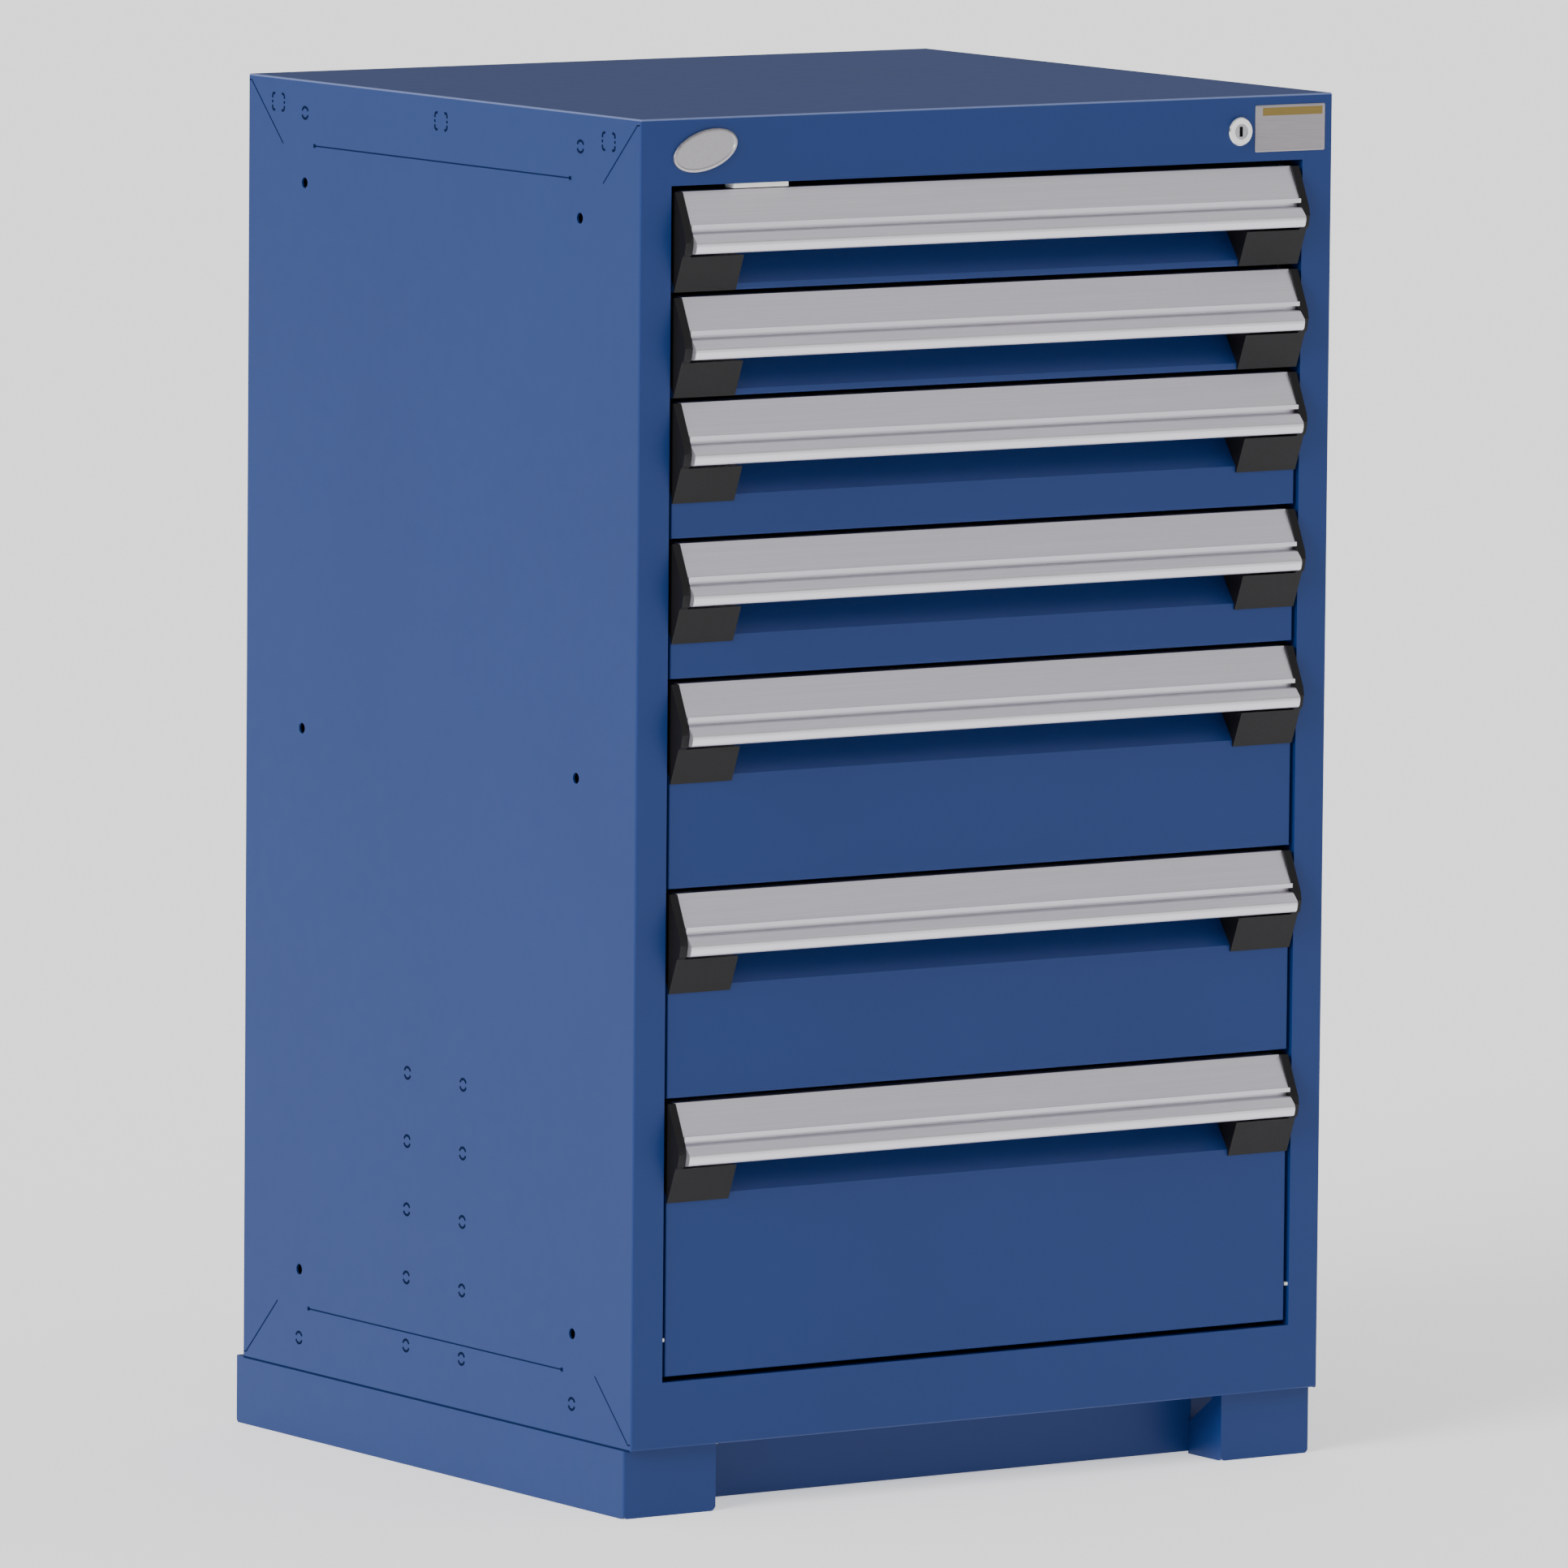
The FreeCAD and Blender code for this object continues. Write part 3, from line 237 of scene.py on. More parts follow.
def paint_fold_highlight(material, low, high, reach, highlight):
    """Paints a highlight along the folds round a sheet's top, as a paler colour mixed into the coat.

    Nearness to an edge grows from 0 at the reach to 1 at six tenths of it. The pale share is the
    largest nearness to the left, right and front edge, times the nearness to the top.
    """
    tree = material.node_tree
    shader = next(n for n in tree.nodes if n.type == "BSDF_PRINCIPLED")
    place = next(n for n in tree.nodes if n.type == "TEX_COORD").outputs["Object"]
    split = add_node(tree, "ShaderNodeSeparateXYZ", links={"Vector": place}).outputs
    ends = {"From Min": reach, "From Max": reach * 0.6, "To Min": 0.0, "To Max": 1.0}
    near = []
    for axis, edge in (("X", low.x), ("X", high.x), ("Y", low.y), ("Z", high.z)):
        away = add_node(
            tree, "ShaderNodeMath", {"operation": "SUBTRACT"}, {0: split[axis]}, {1: edge}
        )
        size = add_node(tree, "ShaderNodeMath", {"operation": "ABSOLUTE"}, {0: away.outputs[0]})
        closeness = add_node(
            tree, "ShaderNodeMapRange", values=ends, links={"Value": size.outputs[0]}
        )
        near.append(closeness.outputs["Result"])
    fold_highlight = near[0]
    for operation, other in zip(("MAXIMUM", "MAXIMUM", "MULTIPLY"), near[1:]):
        both = add_node(tree, "ShaderNodeMath", {"operation": operation}, {0: fold_highlight, 1: other})
        fold_highlight = both.outputs[0]
    coat = shader.inputs["Base Color"].links[0].from_socket
    pale = add_node(
        tree,
        "ShaderNodeMix",
        {"data_type": "RGBA", "blend_type": "MIX"},
        {"Factor": fold_highlight, "A": coat},
        {"B": (*highlight, 1)},
    )
    tree.links.new(pale.outputs["Result"], shader.inputs["Base Color"])


def anodised_aluminium(name, base):
    """Clear anodised extrusion: a soft silver with faint draw lines along its length."""
    material, tree, shader, place = new_material(name)
    shader.inputs["Metallic"].default_value = 1.0
    # The die's draw lines are about 0.2 mm apart and are drawn at 0.9 mm so that they show.
    lines = mottle(tree, place, size=0.9, detail=2.0, stretch=(0.006, 1.0, 1.0))
    tint(tree, shader, base, lines, dark=0.955, light=1.03)
    vary_roughness(tree, shader, lines, low=0.42, high=0.52)
    raise_surface(tree, shader, lines, strength=0.10, height=0.02)
    return material


def moulded_abs(name, base):
    """Injection moulded ABS from a spark-eroded tool: near black with an even fine grain."""
    material, tree, shader, place = new_material(name)
    shader.inputs["Specular IOR Level"].default_value = 0.3
    clouds = mottle(tree, place, size=40.0, detail=2.0)
    tint(tree, shader, base, clouds, dark=0.93, light=1.08)
    spots = mottle(tree, place, size=1.2, detail=3.0)
    vary_roughness(tree, shader, spots, low=0.48, high=0.60)
    # The tool's grain is about 0.3 mm and is drawn at 0.8 mm so that it shows.
    grain = mottle(tree, place, size=0.8, detail=2.0)
    raise_surface(tree, shader, grain, strength=0.30, height=0.05)
    return material


def zinc_plate(name, base):
    """Bright zinc plating on rolled steel: cool grey, lightly clouded, with rolling lines."""
    material, tree, shader, place = new_material(name)
    shader.inputs["Metallic"].default_value = 1.0
    clouds = mottle(tree, place, size=22.0, detail=4.0)
    tint(tree, shader, base, clouds, dark=0.88, light=1.06)
    vary_roughness(tree, shader, clouds, low=0.30, high=0.46)
    # The rolling lines are about 0.3 mm apart and are drawn at 1.1 mm so that they show.
    lines = mottle(tree, place, size=1.1, detail=2.0, stretch=(1.0, 0.03, 1.0))
    raise_surface(tree, shader, lines, strength=0.10, height=0.02)
    return material


def ground_steel(name, base):
    """Turned and ground steel: smooth, with fine marks left by the wheel."""
    material, tree, shader, place = new_material(name)
    shader.inputs["Metallic"].default_value = 1.0
    # The wheel's marks are about 0.1 mm apart and are drawn at 0.6 mm so that they show.
    marks = mottle(tree, place, size=0.6, detail=2.0, stretch=(1.0, 0.2, 0.2))
    tint(tree, shader, base, marks, dark=0.93, light=1.04)
    vary_roughness(tree, shader, marks, low=0.20, high=0.32)
    raise_surface(tree, shader, marks, strength=0.06, height=0.01)
    return material


def chrome_plate(name, base):
    """Chrome over a turned lock: bright, with faint turning marks."""
    material, tree, shader, place = new_material(name)
    shader.inputs["Metallic"].default_value = 1.0
    # The turning marks are about 0.1 mm apart and are drawn at 0.5 mm so that they show.
    marks = mottle(tree, place, size=0.5, detail=1.0)
    tint(tree, shader, base, marks, dark=0.97, light=1.02)
    vary_roughness(tree, shader, marks, low=0.16, high=0.24)
    return material


def nylon(name, base):
    """Moulded nylon: milky white with a low sheen."""
    material, tree, shader, place = new_material(name)
    shader.inputs["Subsurface Weight"].default_value = 0.15
    shader.inputs["Subsurface Scale"].default_value = 0.002
    clouds = mottle(tree, place, size=6.0, detail=2.0)
    tint(tree, shader, base, clouds, dark=0.97, light=1.02)
    vary_roughness(tree, shader, clouds, low=0.34, high=0.46)
    return material


def cast_zinc(name, base):
    """Die-cast zinc, tumbled and lacquered: a satin silver with a soft mottle."""
    material, tree, shader, place = new_material(name)
    shader.inputs["Metallic"].default_value = 1.0
    spots = mottle(tree, place, size=3.0, detail=3.0)
    tint(tree, shader, base, spots, dark=0.92, light=1.05)
    vary_roughness(tree, shader, spots, low=0.30, high=0.44)
    raise_surface(tree, shader, spots, strength=0.08, height=0.03)
    return material


def printed_foil(name, base):
    """Thin aluminium plate with a printed tint: brushed from side to side."""
    material, tree, shader, place = new_material(name)
    shader.inputs["Metallic"].default_value = 0.6
    # The brush lines are about 0.1 mm apart and are drawn at 0.5 mm so that they show.
    lines = mottle(tree, place, size=0.5, detail=2.0, stretch=(0.02, 1.0, 1.0))
    tint(tree, shader, base, lines, dark=0.90, light=1.06)
    vary_roughness(tree, shader, lines, low=0.38, high=0.50)
    return material


def gap_shade(name, base):
    """Painted shade inside a punched line or a seam: a dull dark sheet that stands for the shadow where
    no light gets in.
    """
    material, tree, shader, place = new_material(name)
    shader.inputs["Specular IOR Level"].default_value = 0.05
    # A torn edge's grain is about 0.1 mm; the shade's mottle copies it at 0.7 mm so that it shows.
    grain = mottle(tree, place, size=0.7, detail=2.0)
    tint(tree, shader, base, grain, dark=0.8, light=1.1)
    vary_roughness(tree, shader, grain, low=0.7, high=0.9)
    return material


def dress(material, *names):
    """Gives CAD nodes a finish."""
    for name in names:
        node = NODES[name]
        if not node.material_slots:
            node.data.materials.append(material)
        for slot in node.material_slots:
            slot.material = material


def each_drawer(ending):
    """The names of one kind of node in all drawers."""
    return ["drawer_%d_%s" % (n, ending) for n in DRAWERS]


# Surfaces


def ring_faces(rows, columns):
    """Quads between each row of points and the next, where a row's last point meets its first."""
    row, column = np.meshgrid(np.arange(rows - 1), np.arange(columns), indexing="ij")
    here = row * columns
    right = (column + 1) % columns
    quads = [here + column, here + right, here + columns + right, here + columns + column]
    return np.stack(quads, -1).reshape(-1, 4)


def make_piece(name, points, faces, material, body, smooth=True):
    """A mesh from arrays of points and quads, with doubles merged and normals outward."""
    mesh = bpy.data.meshes.new(name)
    mesh.from_pydata(points.reshape(-1, 3).tolist(), [], faces.tolist())
    work = bmesh.new()
    work.from_mesh(mesh)
    bmesh.ops.remove_doubles(work, verts=work.verts, dist=SAME_PLACE)
    bmesh.ops.recalc_face_normals(work, faces=work.faces)
    work.to_mesh(mesh)
    work.free()
    mesh.materials.append(material)
    mesh.polygons.foreach_set("use_smooth", np.full(len(mesh.polygons), smooth))
    mesh.set_sharp_from_angle(angle=SHARP_EDGE)
    mesh.update()
    piece = bpy.data.objects.new(name, mesh)
    bpy.context.scene.collection.objects.link(piece)
    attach(piece, body)
    return piece


def oval_rings(half_long, half_short, tilt, insets, count):
    """Rings of an oval: (a - i) cos t, (b - i) sin t, turned by the tilt."""
    t = np.linspace(0, 2 * np.pi, count, endpoint=False)
    insets = np.asarray(insets)[:, None]
    u = np.maximum(half_long - insets, 0) * np.cos(t)
    w = np.maximum(half_short - insets, 0) * np.sin(t)
    return u * math.cos(tilt) - w * math.sin(tilt), u * math.sin(tilt) + w * math.cos(tilt)


def panel_rings(half_width, half_height, radius, insets, count):
    """Rings of a rounded rectangle: the corner arcs' centres stay, the arcs shrink."""
    quarters = np.arange(4)[:, None] * np.pi / 2
    angle = (quarters + np.linspace(0, np.pi / 2, count)).reshape(-1)
    side_u = np.repeat([1, -1, -1, 1], count)
    side_w = np.repeat([1, 1, -1, -1], count)
    insets = np.asarray(insets)[:, None]
    arc = np.maximum(radius - insets, 0)
    left = np.maximum(insets - radius, 0)
    u = side_u * np.maximum(half_width - radius - left, 0) + arc * np.cos(angle)
    w = side_w * np.maximum(half_height - radius - left, 0) + arc * np.sin(angle)
    return u, w


def front_plate(name, rings, heights, centre, face_y, material):
    """A plate on the front: each ring stands at its own height before the face."""
    u, w = rings
    y = face_y - np.asarray(heights)[:, None] * np.ones_like(u)
    points = np.stack([centre[0] + u, y, centre[1] + w], -1)
    faces = ring_faces(*points.shape[:2])
    make_piece(name, points, faces, material, "housing")


def line_strip(u, w, width):
    """A flat strip along a plane path: each point steps half the width to both sides.

    The step is square to the path's direction there: the direction (du, dw) turned to (-dw, du).
    """
    du, dw = np.gradient(u), np.gradient(w)
    step = np.array([-dw, du]) / np.hypot(du, dw) * width / 2
    path = np.array([u, w])
    return np.stack([path + step, path - step], 1)


def solid_boxes(node):
    """The lowest and highest corner of each separate solid in a CAD node.

    The node's mesh is loose triangles, so corners at one place count as one. The lowest number
    of the corners that an edge joins then spreads along the edges, until each solid has one.
    """
    mesh = node.data
    corners = np.empty(len(mesh.vertices) * 3)
    mesh.vertices.foreach_get("co", corners)
    corners = corners.reshape(-1, 3)
    places = np.round(corners / SAME_PLACE).astype(np.int64)
    same = np.unique(places, axis=0, return_inverse=True)[1].reshape(-1)
    edges = np.empty(len(mesh.edges) * 2, dtype=np.int64)
    mesh.edges.foreach_get("vertices", edges)
    edges = same[edges].reshape(-1, 2)
    spread = np.arange(same.max() + 1)
    number = None
    while not np.array_equal(spread, number):
        number = spread.copy()
        lowest = number[edges].min(1)
        np.minimum.at(spread, edges[:, 0], lowest)
        np.minimum.at(spread, edges[:, 1], lowest)
    solid = number[same]
    return [(corners[solid == n].min(0), corners[solid == n].max(0)) for n in np.unique(solid)]


def wall_lines(name, paths, width, material):
    """Flat dark bars of painted shade let into both side walls, along paths of depth from the front and
    height.

    Each bar has four long edges, two before the wall and two inside it, and a point at each end.
    """
    low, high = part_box("top_panel")
    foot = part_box("bottom_panel")[0].z
    for side, ending in ((-1, "_left"), (1, "_right")):
        wall = low.x if side < 0 else high.x
        levels = wall + side * np.array([LINE_RISE, LINE_RISE, -LINE_DEPTH, -LINE_DEPTH])
        points = []
        faces = []
        count = 0
        for u, w in paths:
            edge_u, edge_w = line_strip(u, w, width)[:, [0, 1, 1, 0]]
            x = np.broadcast_to(levels[:, None], edge_u.shape)
            rings = np.stack([x, low.y + edge_u, foot + edge_w], -1).transpose(1, 0, 2)
            poles = np.repeat(rings[[0, -1]].mean(1, keepdims=True), 4, 1)
            bar = np.concatenate([poles[:1], rings, poles[1:]])
            faces.append(ring_faces(*bar.shape[:2]) + count)
            points.append(bar.reshape(-1, 3))
            count += bar.shape[0] * 4
        points = np.concatenate(points)
        faces = np.concatenate(faces)
        make_piece(name + ending, points, faces, material, "housing", smooth=False)


def turned_rings(profile, count):
    """A profile of steps along an axis and radii, turned round it: (r cos t, r sin t)."""
    t = np.linspace(0, 2 * np.pi, count, endpoint=False)
    along = profile[:, :1]
    radius = profile[:, 1:]
    return np.array([along + 0 * t, radius * np.cos(t), radius * np.sin(t)])


# Operators


class CabinetPaintHousing(bpy.types.Operator):
    """Powder coat on the housing, the base and the drawer fronts"""

    bl_idname = "cabinet.paint_housing"
    bl_label = "Paint housing and fronts"

    def execute(self, context):
        finish = context.scene.cabinet_finish
        satin = 0.44
        highlight_reach = 1.5 * MM
        paint = powder_coat("powder_coat_blue", finish.paint, satin)
        dress(paint, "bottom_panel", "side_panel_left", "side_panel_right")
        dress(paint, "back_panel", "base_side_left", "base_side_right", "base_covers")
        dress(paint, *each_drawer("front"))
        # The top gets its own copy of the coat, with a painted highlight along its folds
        top = powder_coat("powder_coat_blue_top_highlight", finish.paint, satin)
        paint_fold_highlight(top, *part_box("top_panel"), highlight_reach, finish.fold_highlight)
        dress(top, "top_panel")
        return {"FINISHED"}


class CabinetFinishDrawers(bpy.types.Operator):
    """Paint, zinc and steel on the drawer boxes and their slides"""

    bl_idname = "cabinet.finish_drawers"
    bl_label = "Finish boxes and slides"

    def execute(self, context):
        finish = context.scene.cabinet_finish
        satin = 0.42
        dress(powder_coat("powder_coat_grey", finish.box_paint, satin), *each_drawer("box"))
        zinc = zinc_plate("zinc_plated_rails", finish.zinc)
        dress(zinc, "uprights", "fixed_rails", *each_drawer("carriages"))
        return {"FINISHED"}


class CabinetAddRollers(bpy.types.Operator):
    """Turned rollers with a hub, a rounded tread and a riveted axle, in place of the plain ones"""

    bl_idname = "cabinet.add_rollers"
    bl_label = "Add rollers"

    def execute(self, context):
        steel = ground_steel("ground_steel_rollers", context.scene.cabinet_finish.steel)
        for number in DRAWERS:
            node = "drawer_%d_rollers" % number
            # The two carriages are mirror images, so one gives the plate for all rollers
            plate_low, plate_high = solid_boxes(NODES["drawer_%d_carriages" % number])[-1]
            plate = plate_high[0] - plate_low[0]
            plate_middle = (plate_high[0] + plate_low[0]) / 2
            points = []
            faces = []
            count = 0
            for low, high in solid_boxes(NODES[node]):
                middle = (low + high) / 2
                # A roller stands on the outer or on the inner face of its plate
                side = 1 if middle[0] > 0 else -1
                outward = side if abs(middle[0]) > abs(plate_middle) else -side
                near = low[0] if outward > 0 else high[0]
                profile = self.profile(high[0] - low[0], (high[2] - low[2]) / 2, plate)
                x, y, z = turned_rings(profile, count=40)
                ring = np.stack([near + outward * x, middle[1] + y, middle[2] + z], -1)
                points.append(ring.reshape(-1, 3))
                faces.append(ring_faces(*x.shape) + count)
                count += x.size
            piece = make_piece(
                "rollers_%d" % number,
                np.concatenate(points),
                np.concatenate(faces),
                steel,
                "carriage_%d" % number,
            )
            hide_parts(node)
        return {"FINISHED"}

    def profile(self, width, radius, plate):
        """Steps along the axle and radii there: rivet behind the plate, hub, tread, axle head.

        The tread's edges are quarter circles: (b (1 - sin a), r - b (1 - cos a)).
        """
        hub, axle, rivet = 5.0 * MM, 3.2 * MM, 4.2 * MM
        rise, head, bevel, bend = 1.2 * MM, 0.6 * MM, 0.5 * MM, 1.2 * MM
        tread_width, crown = 8.9 * MM, 0.1 * MM
        end = width - head
        tread = end - tread_width
        turn = np.radians(np.linspace(90, 0, 5))
        depth = bend * (1 - np.sin(turn))
        round_edge = radius - bend * (1 - np.cos(turn))
        shoulder = radius - 2 * bend
        back = [(-plate - rise, 0), (-plate - rise, rivet - bevel), (-plate - rise + bevel, rivet)]
        back += [(-plate, rivet), (-plate, axle), (0, axle), (0, hub), (tread, hub)]
        front = [(end, shoulder), (end, axle), (width - crown, axle - bevel), (width, 0)]
        rows = [back, [(tread, shoulder)], np.stack([tread + depth, round_edge], -1)]
        rows += [np.stack([end - depth, round_edge], -1)[::-1], front]
        return np.concatenate([np.asarray(row, float) for row in rows])


class CabinetFinishHandles(bpy.types.Operator):
    """Anodised aluminium on the handles and moulded plastic on their caps"""

    bl_idname = "cabinet.finish_handles"
    bl_label = "Finish handles and caps"

    def execute(self, context):
        finish = context.scene.cabinet_finish
        dress(anodised_aluminium("anodised_handle", finish.handle), *each_drawer("handle"))
        dress(moulded_abs("moulded_abs_cap", finish.cap), *each_drawer("end_caps"))
        return {"FINISHED"}


class CabinetFinishLock(bpy.types.Operator):
    """Chrome on the lock, zinc on its bar, nylon on the glides"""

    bl_idname = "cabinet.finish_lock"
    bl_label = "Finish lock and glides"

    def execute(self, context):
        finish = context.scene.cabinet_finish
        dress(chrome_plate("chrome_lock", finish.chrome), "lock_barrel")
        dress(chrome_plate("nickel_plug", finish.plug), "lock_plug")
        zinc = zinc_plate("zinc_plated_lock_parts", finish.zinc)
        dress(zinc, "lock_cam", "lock_bar", "lock_hooks", "lock_bar_guides", "housing_screws")
        dress(nylon("white_nylon", finish.nylon), "nylon_glides")
        return {"FINISHED"}


class CabinetAddBadge(bpy.types.Operator):
    """A plain oval badge with a raised rim"""

    bl_idname = "cabinet.add_badge"
    bl_label = "Add badge"

    def execute(self, context):
        finish = context.scene.cabinet_finish
        sizes = context.scene.cabinet_fitting
        half_long, half_short = sizes.badge_long / 2, sizes.badge_short / 2
        # A rounded rim, then a flat field 0.7 mm lower
        edge = [0, 0, 0.3, 0.8, 2.0, 2.4, 2.7, 14.0]
        insets = np.array([TO_THE_MIDDLE, *edge, TO_THE_MIDDLE]) * MM
        heights = np.array([0, 0, 1.2, 1.7, 1.9, 1.9, 1.5, 1.2, 1.2, 1.2]) * MM
        rings = oval_rings(half_long, half_short, sizes.badge_tilt, insets, count=96)
        centre = (sizes.badge_x, sizes.badge_z)
        face_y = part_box("top_panel")[0].y
        metal = cast_zinc("cast_badge", finish.badge)
        front_plate("badge_plate", rings, heights, centre, face_y, metal)
        return {"FINISHED"}


class CabinetAddLabel(bpy.types.Operator):
    """A label plate with a rim, a plain band and a bare panel"""

    bl_idname = "cabinet.add_label"
    bl_label = "Add label plate"

    def execute(self, context):
        finish = context.scene.cabinet_finish
        sizes = context.scene.cabinet_fitting
        face_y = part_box("top_panel")[0].y
        centre = (sizes.label_x, sizes.label_z)
        half_width, half_height = sizes.label_width / 2, sizes.label_height / 2
        corner = 1.2 * MM
        # A narrow rim round a panel that lies 0.15 mm lower
        insets = np.array([TO_THE_MIDDLE, 0, 0, 0.2, 1.4, 1.6, TO_THE_MIDDLE]) * MM
        heights = np.array([0, 0, 0.5, 0.6, 0.6, 0.45, 0.45]) * MM
        rings = panel_rings(half_width, half_height, corner, insets, count=6)
        foil = printed_foil("label_foil", finish.label)
        front_plate("label_plate", rings, heights, centre, face_y, foil)
        band_half_width = half_width - 4.4 * MM
        band_half_height = 3.0 * MM
        band_shift = 2.2 * MM
        band_drop = 4.9 * MM
        band_corner = 0.4 * MM
        place = (centre[0] + band_shift, centre[1] + half_height - band_drop)
        # The band is sunk a little into the panel and stands 0.07 mm proud of it
        insets = np.array([TO_THE_MIDDLE, 0, 0.05, TO_THE_MIDDLE]) * MM
        heights = np.array([0.40, 0.40, 0.52, 0.52]) * MM
        rings = panel_rings(band_half_width, band_half_height, band_corner, insets, count=4)
        band = printed_foil("label_band_foil", finish.band)
        front_plate("label_band", rings, heights, place, face_y, band)
        return {"FINISHED"}


class CabinetAddKnockouts(bpy.types.Operator):
    """Painted shade in the punched lines of the knock-outs in both side walls"""

    bl_idname = "cabinet.add_knockouts"
    bl_label = "Add knock-outs"

    def execute(self, context):
        sizes = context.scene.cabinet_fitting
        low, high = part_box("top_panel")
        middle = (high.y - low.y) / 2
        # Reaches count from the middle of the depth, and levels from the foot of the housing
        corner_reach, corner_levels = 187.3, (24.6, 940.8)
        column_reach, column_levels = 38.1, 38.1 + 50.8 * np.arange(5)
        square_reach, square_level = 224.6, 946.7
        rounds = [(corner_reach, level) for level in corner_levels]
        rounds += [(column_reach, level) for level in column_levels]
        paths = []
        for reach, level in rounds:
            for side in (-1, 1):
                place = (middle + side * reach * MM, level * MM)
                paths += self.round_mark(*place, sizes.knockout_radius)
        for side in (-1, 0, 1):
            paths += self.square_mark(middle + side * square_reach * MM, square_level * MM)
        # A dark sheet of painted shade lies along each punched line
        steel = gap_shade("knockout_line", context.scene.cabinet_finish.knockout)
        wall_lines("knockout_lines", paths, sizes.knockout_line, steel)
        return {"FINISHED"}

    def round_mark(self, u, w, radius):
        """Two arcs of 140 degrees, above and below, with the uncut bridges at both sides."""
        turn = np.radians(np.linspace(20, 160, 11))
        turns = (turn, turn + np.pi)
        return [(u + radius * np.cos(t), w + radius * np.sin(t)) for t in turns]

    def square_mark(self, u, w):
        """Four rounded corners with short legs, and a dash at the middle of both upright sides."""
        half_width, half_height, bend, leg, dash = np.array([8.2, 6.2, 2.2, 1.4, 1.0]) * MM
        arc = np.radians(np.linspace(0, 90, 5))
        across = half_width - bend
        up = half_height - bend
        corner_u = np.concatenate([[half_width], across + bend * np.cos(arc), [across - leg]])
        corner_w = np.concatenate([[up - leg], up + bend * np.sin(arc), [half_height]])
        signs = ((-1, -1), (-1, 1), (1, -1), (1, 1))
        paths = [(u + a * corner_u, w + b * corner_w) for a, b in signs]
        sides = (u - half_width, u + half_width)
        return paths + [(np.full(2, side), w + np.array([-dash, dash])) for side in sides]


class CabinetAddSeams(bpy.types.Operator):
    """Dark lines of painted shade in the mitres, the seams and the joint with the base on both side
    walls
    """

    bl_idname = "cabinet.add_seams"
    bl_label = "Add seam lines"

    def execute(self, context):
        sizes = context.scene.cabinet_fitting
        low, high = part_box("top_panel")
        depth = high.y - low.y
        height = high.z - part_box("bottom_panel")[0].z
        # A mitre starts at the corner's bend, and the seams lie just inside the mitres' ends
        bend = 4.4 * MM
        seam_step = 0.9 * MM
        level = sizes.mitre_reach - seam_step
        run = np.array([bend, sizes.mitre_reach])
        along = np.array([sizes.seam_blind, depth - sizes.seam_blind])
        paths = [(across, up) for across in (run, depth - run) for up in (run, height - run)]
        paths += [(along, np.full(2, up)) for up in (level, height - level)]
        line = gap_shade("seam_line", context.scene.cabinet_finish.seam)
        wall_lines("seam_lines", paths, sizes.seam_line, line)
        # The joint with the base shows as a line of painted shade
        joint_front = 2.0 * MM
        joint_rear = 1.0 * MM
        across = np.array([joint_front, depth - joint_rear])
        wall_lines("base_joint_lines", [(across, np.zeros(2))], sizes.joint_line, line)
        # Each seam ends in a small relief cut, drawn as a dark dot of painted shade
        relief_width = 3.0 * MM
        relief = np.array([-1.6, 1.6]) * MM
        ends = [(end + relief, np.full(2, up)) for up in (level, height - level) for end in along]
        wall_lines("seam_ends", ends, relief_width, line)
        return {"FINISHED"}


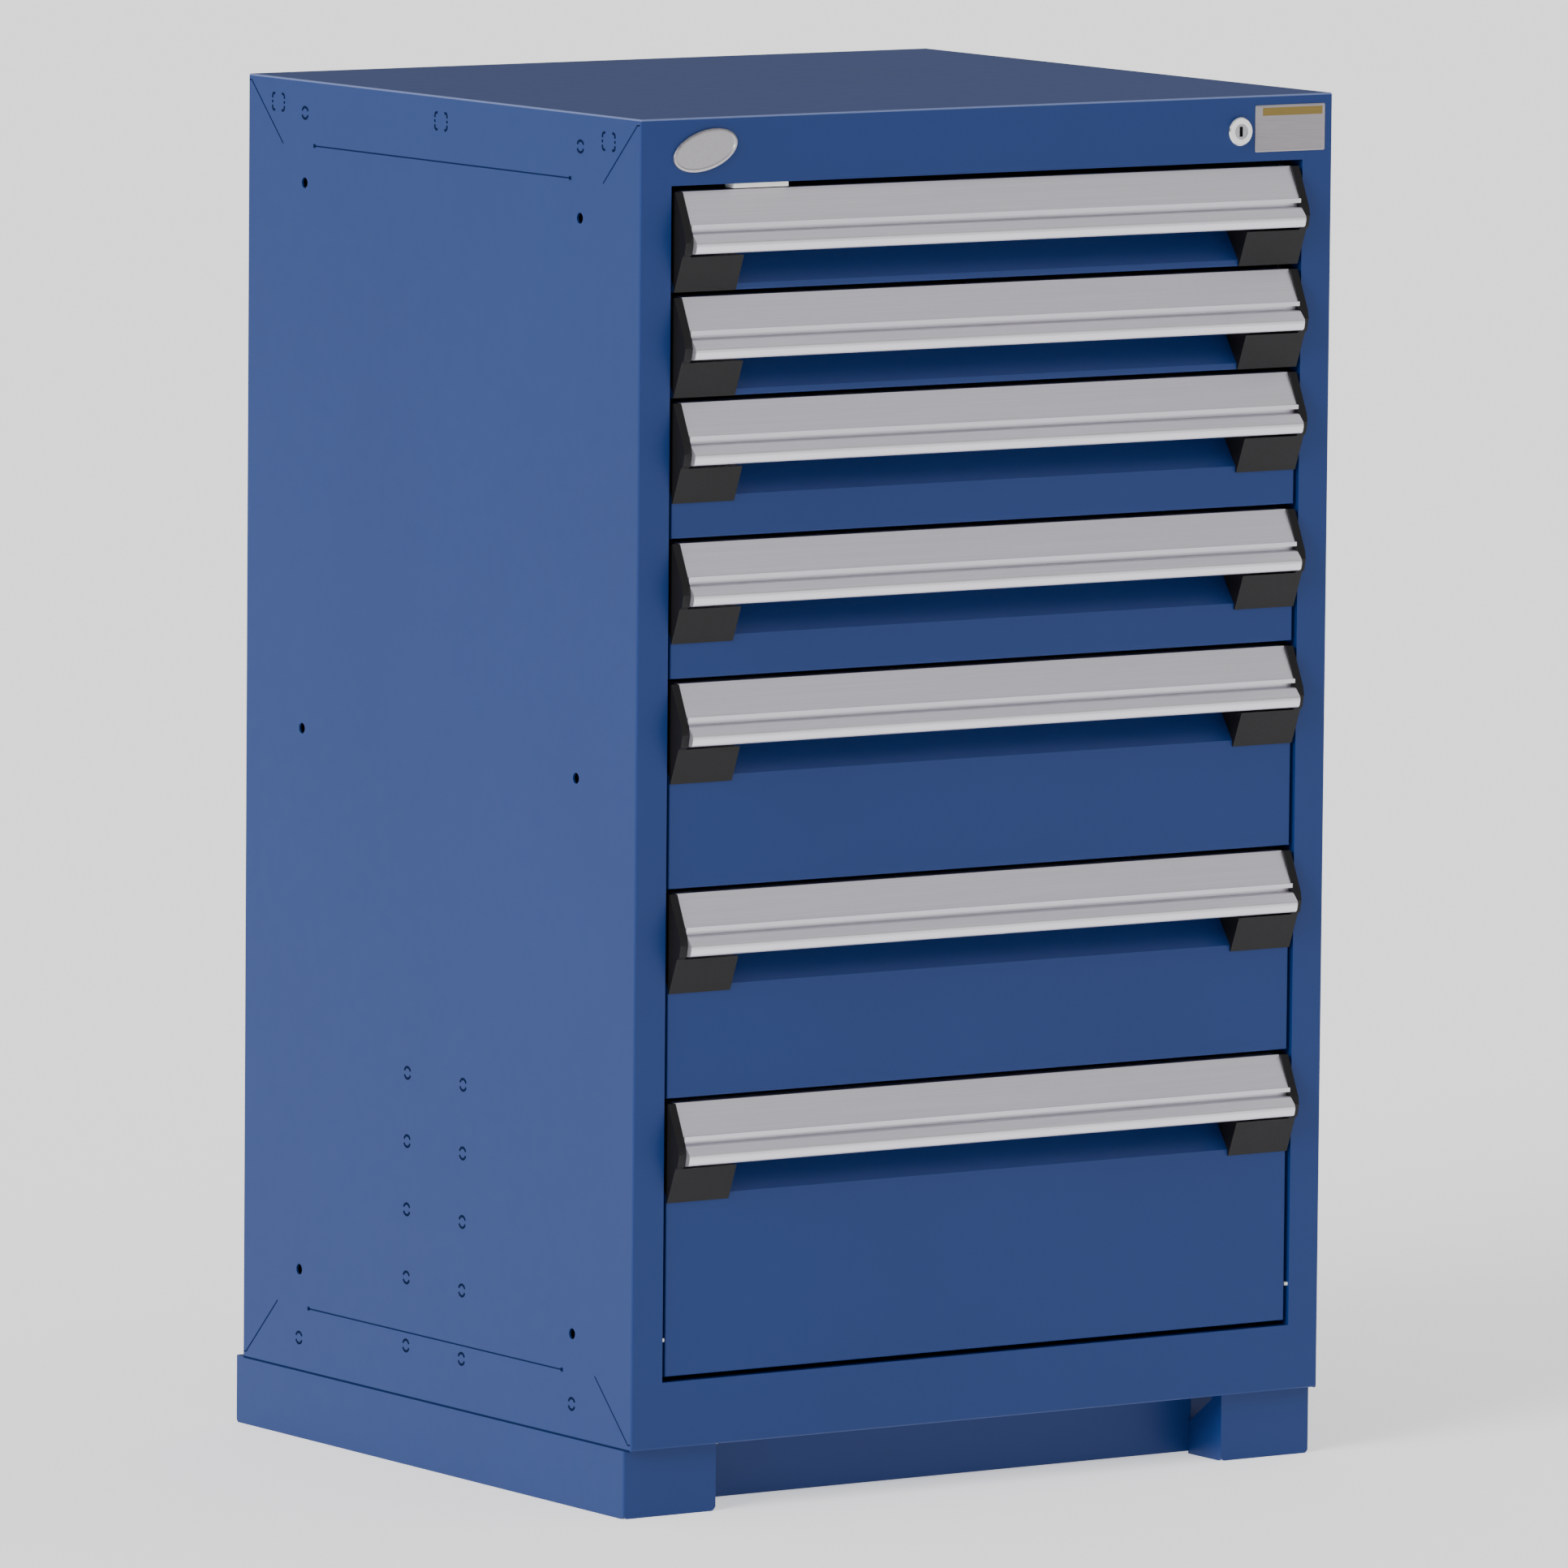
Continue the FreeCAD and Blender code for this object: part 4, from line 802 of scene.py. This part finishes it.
class CabinetSetStage(bpy.types.Operator):
    """Pale floor, soft light and the camera of the product photograph"""

    bl_idname = "cabinet.set_stage"
    bl_label = "Set stage"

    def execute(self, context):
        settings = context.scene.cabinet_stage
        self.floor(settings.floor, settings.glow)
        self.world(context.scene, settings.sky)
        self.key(settings.key, settings.key_spread)
        self.camera(context.scene)
        return {"FINISHED"}

    def floor(self, base, glow):
        """A wide flat floor under the cabinet, a pale sheet lit from below."""
        mesh = bpy.data.meshes.new("studio_floor")
        reach = 60.0
        corners = np.array([[-1, -1, 0], [1, -1, 0], [1, 1, 0], [-1, 1, 0]]) * reach
        mesh.from_pydata(corners.tolist(), [], [[0, 1, 2, 3]])
        material, tree, shader, place = new_material("studio_floor_paper")
        clouds = mottle(tree, place, size=900.0, detail=1.0)
        tint(tree, shader, base, clouds, dark=0.995, light=1.0)
        shader.inputs["Roughness"].default_value = 0.95
        shader.inputs["Specular IOR Level"].default_value = 0.1
        shader.inputs["Emission Color"].default_value = (*base, 1)
        shader.inputs["Emission Strength"].default_value = glow
        mesh.materials.append(material)
        piece = bpy.data.objects.new("studio_floor", mesh)
        bpy.context.scene.collection.objects.link(piece)

    def world(self, scene, strength):
        """A dome that is bright overhead and dimmer near the horizon."""
        world = bpy.data.worlds.new("studio_dome")
        world.use_nodes = True
        tree = world.node_tree
        tree.nodes.clear()
        place = add_node(tree, "ShaderNodeTexCoord").outputs["Generated"]
        split = add_node(tree, "ShaderNodeSeparateXYZ", links={"Vector": place})
        ramp = add_node(tree, "ShaderNodeValToRGB", links={"Fac": split.outputs["Z"]})
        horizon, overhead = ramp.color_ramp.elements
        horizon.position = 0.08
        horizon.color = (0.035, 0.032, 0.030, 1)
        overhead.position = 0.6
        overhead.color = (0.9, 0.9, 0.9, 1)
        light = add_node(
            tree,
            "ShaderNodeBackground",
            values={"Strength": strength},
            links={"Color": ramp.outputs["Color"]},
        )
        add_node(tree, "ShaderNodeOutputWorld", links={"Surface": light.outputs["Background"]})
        scene.world = world

    def key(self, strength, spread):
        """A broad soft light from the left, in front and above."""
        data = bpy.data.lights.new("key_light", "SUN")
        data.energy = strength
        data.angle = spread
        light = bpy.data.objects.new("key_light", data)
        way = Vector((0.86, 0.24, -0.42))
        light.rotation_mode = "QUATERNION"
        light.rotation_quaternion = way.to_track_quat("-Z", "Y")
        bpy.context.scene.collection.objects.link(light)

    def camera(self, scene):
        """A long lens from the left front, a little above the cabinet.

        Its place, turn and lens were worked out from the housing's corners in the photograph.
        """
        place = Vector((-6.4620, -9.6692, 1.8320))
        yaw, pitch, roll = np.radians([33.7481, -6.5652, 0.4924])
        ahead = Vector(
            (math.sin(yaw) * math.cos(pitch), math.cos(yaw) * math.cos(pitch), math.sin(pitch))
        )
        right = Vector((math.cos(yaw), -math.sin(yaw), 0))
        up = right.cross(ahead)
        turned_right = right * math.cos(roll) + up * math.sin(roll)
        turned_up = up * math.cos(roll) - right * math.sin(roll)
        data = bpy.data.cameras.new("product_camera")
        data.sensor_fit = "HORIZONTAL"
        data.sensor_width = 36.0
        data.lens = 361.05
        data.clip_end = 200.0
        camera = bpy.data.objects.new("product_camera", data)
        turn = Matrix((turned_right, turned_up, -ahead)).transposed().to_4x4()
        camera.matrix_world = Matrix.Translation(place) @ turn
        scene.collection.objects.link(camera)
        scene.camera = camera


class CabinetPanel(bpy.types.Panel):
    """The steps that dress the cabinet"""

    bl_idname = "VIEW3D_PT_cabinet"
    bl_label = "Drawer cabinet"
    bl_space_type = "VIEW_3D"
    bl_region_type = "UI"
    bl_category = "Cabinet"

    def draw(self, context):
        column = self.layout.column()
        for step in STEPS:
            column.operator(step.bl_idname)
        for setting in SETTINGS:
            group = getattr(context.scene, setting)
            for name in group.bl_rna.properties.keys():
                if name not in ("rna_type", "name"):
                    column.prop(group, name)


SETTINGS = {
    "cabinet_finish": CabinetFinishSettings,
    "cabinet_fitting": CabinetFittingSettings,
    "cabinet_stage": CabinetStageSettings,
}
STEPS = (
    CabinetPaintHousing,
    CabinetFinishDrawers,
    CabinetAddRollers,
    CabinetFinishHandles,
    CabinetFinishLock,
    CabinetAddBadge,
    CabinetAddLabel,
    CabinetAddKnockouts,
    CabinetAddSeams,
    CabinetSetStage,
)


def register():
    """Registers the settings, the steps and the panel."""
    for name, group in SETTINGS.items():
        bpy.utils.register_class(group)
        setattr(bpy.types.Scene, name, bpy.props.PointerProperty(type=group))
    for step in STEPS:
        bpy.utils.register_class(step)
    bpy.utils.register_class(CabinetPanel)


def unregister():
    """Takes everything out again."""
    bpy.utils.unregister_class(CabinetPanel)
    for step in reversed(STEPS):
        bpy.utils.unregister_class(step)
    for name, group in reversed(list(SETTINGS.items())):
        delattr(bpy.types.Scene, name)
        bpy.utils.unregister_class(group)


def main():
    """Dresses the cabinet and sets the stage."""
    register()
    for step in STEPS:
        space, name = step.bl_idname.split(".")
        getattr(getattr(bpy.ops, space), name)()


if __name__ == "__main__":
    main()
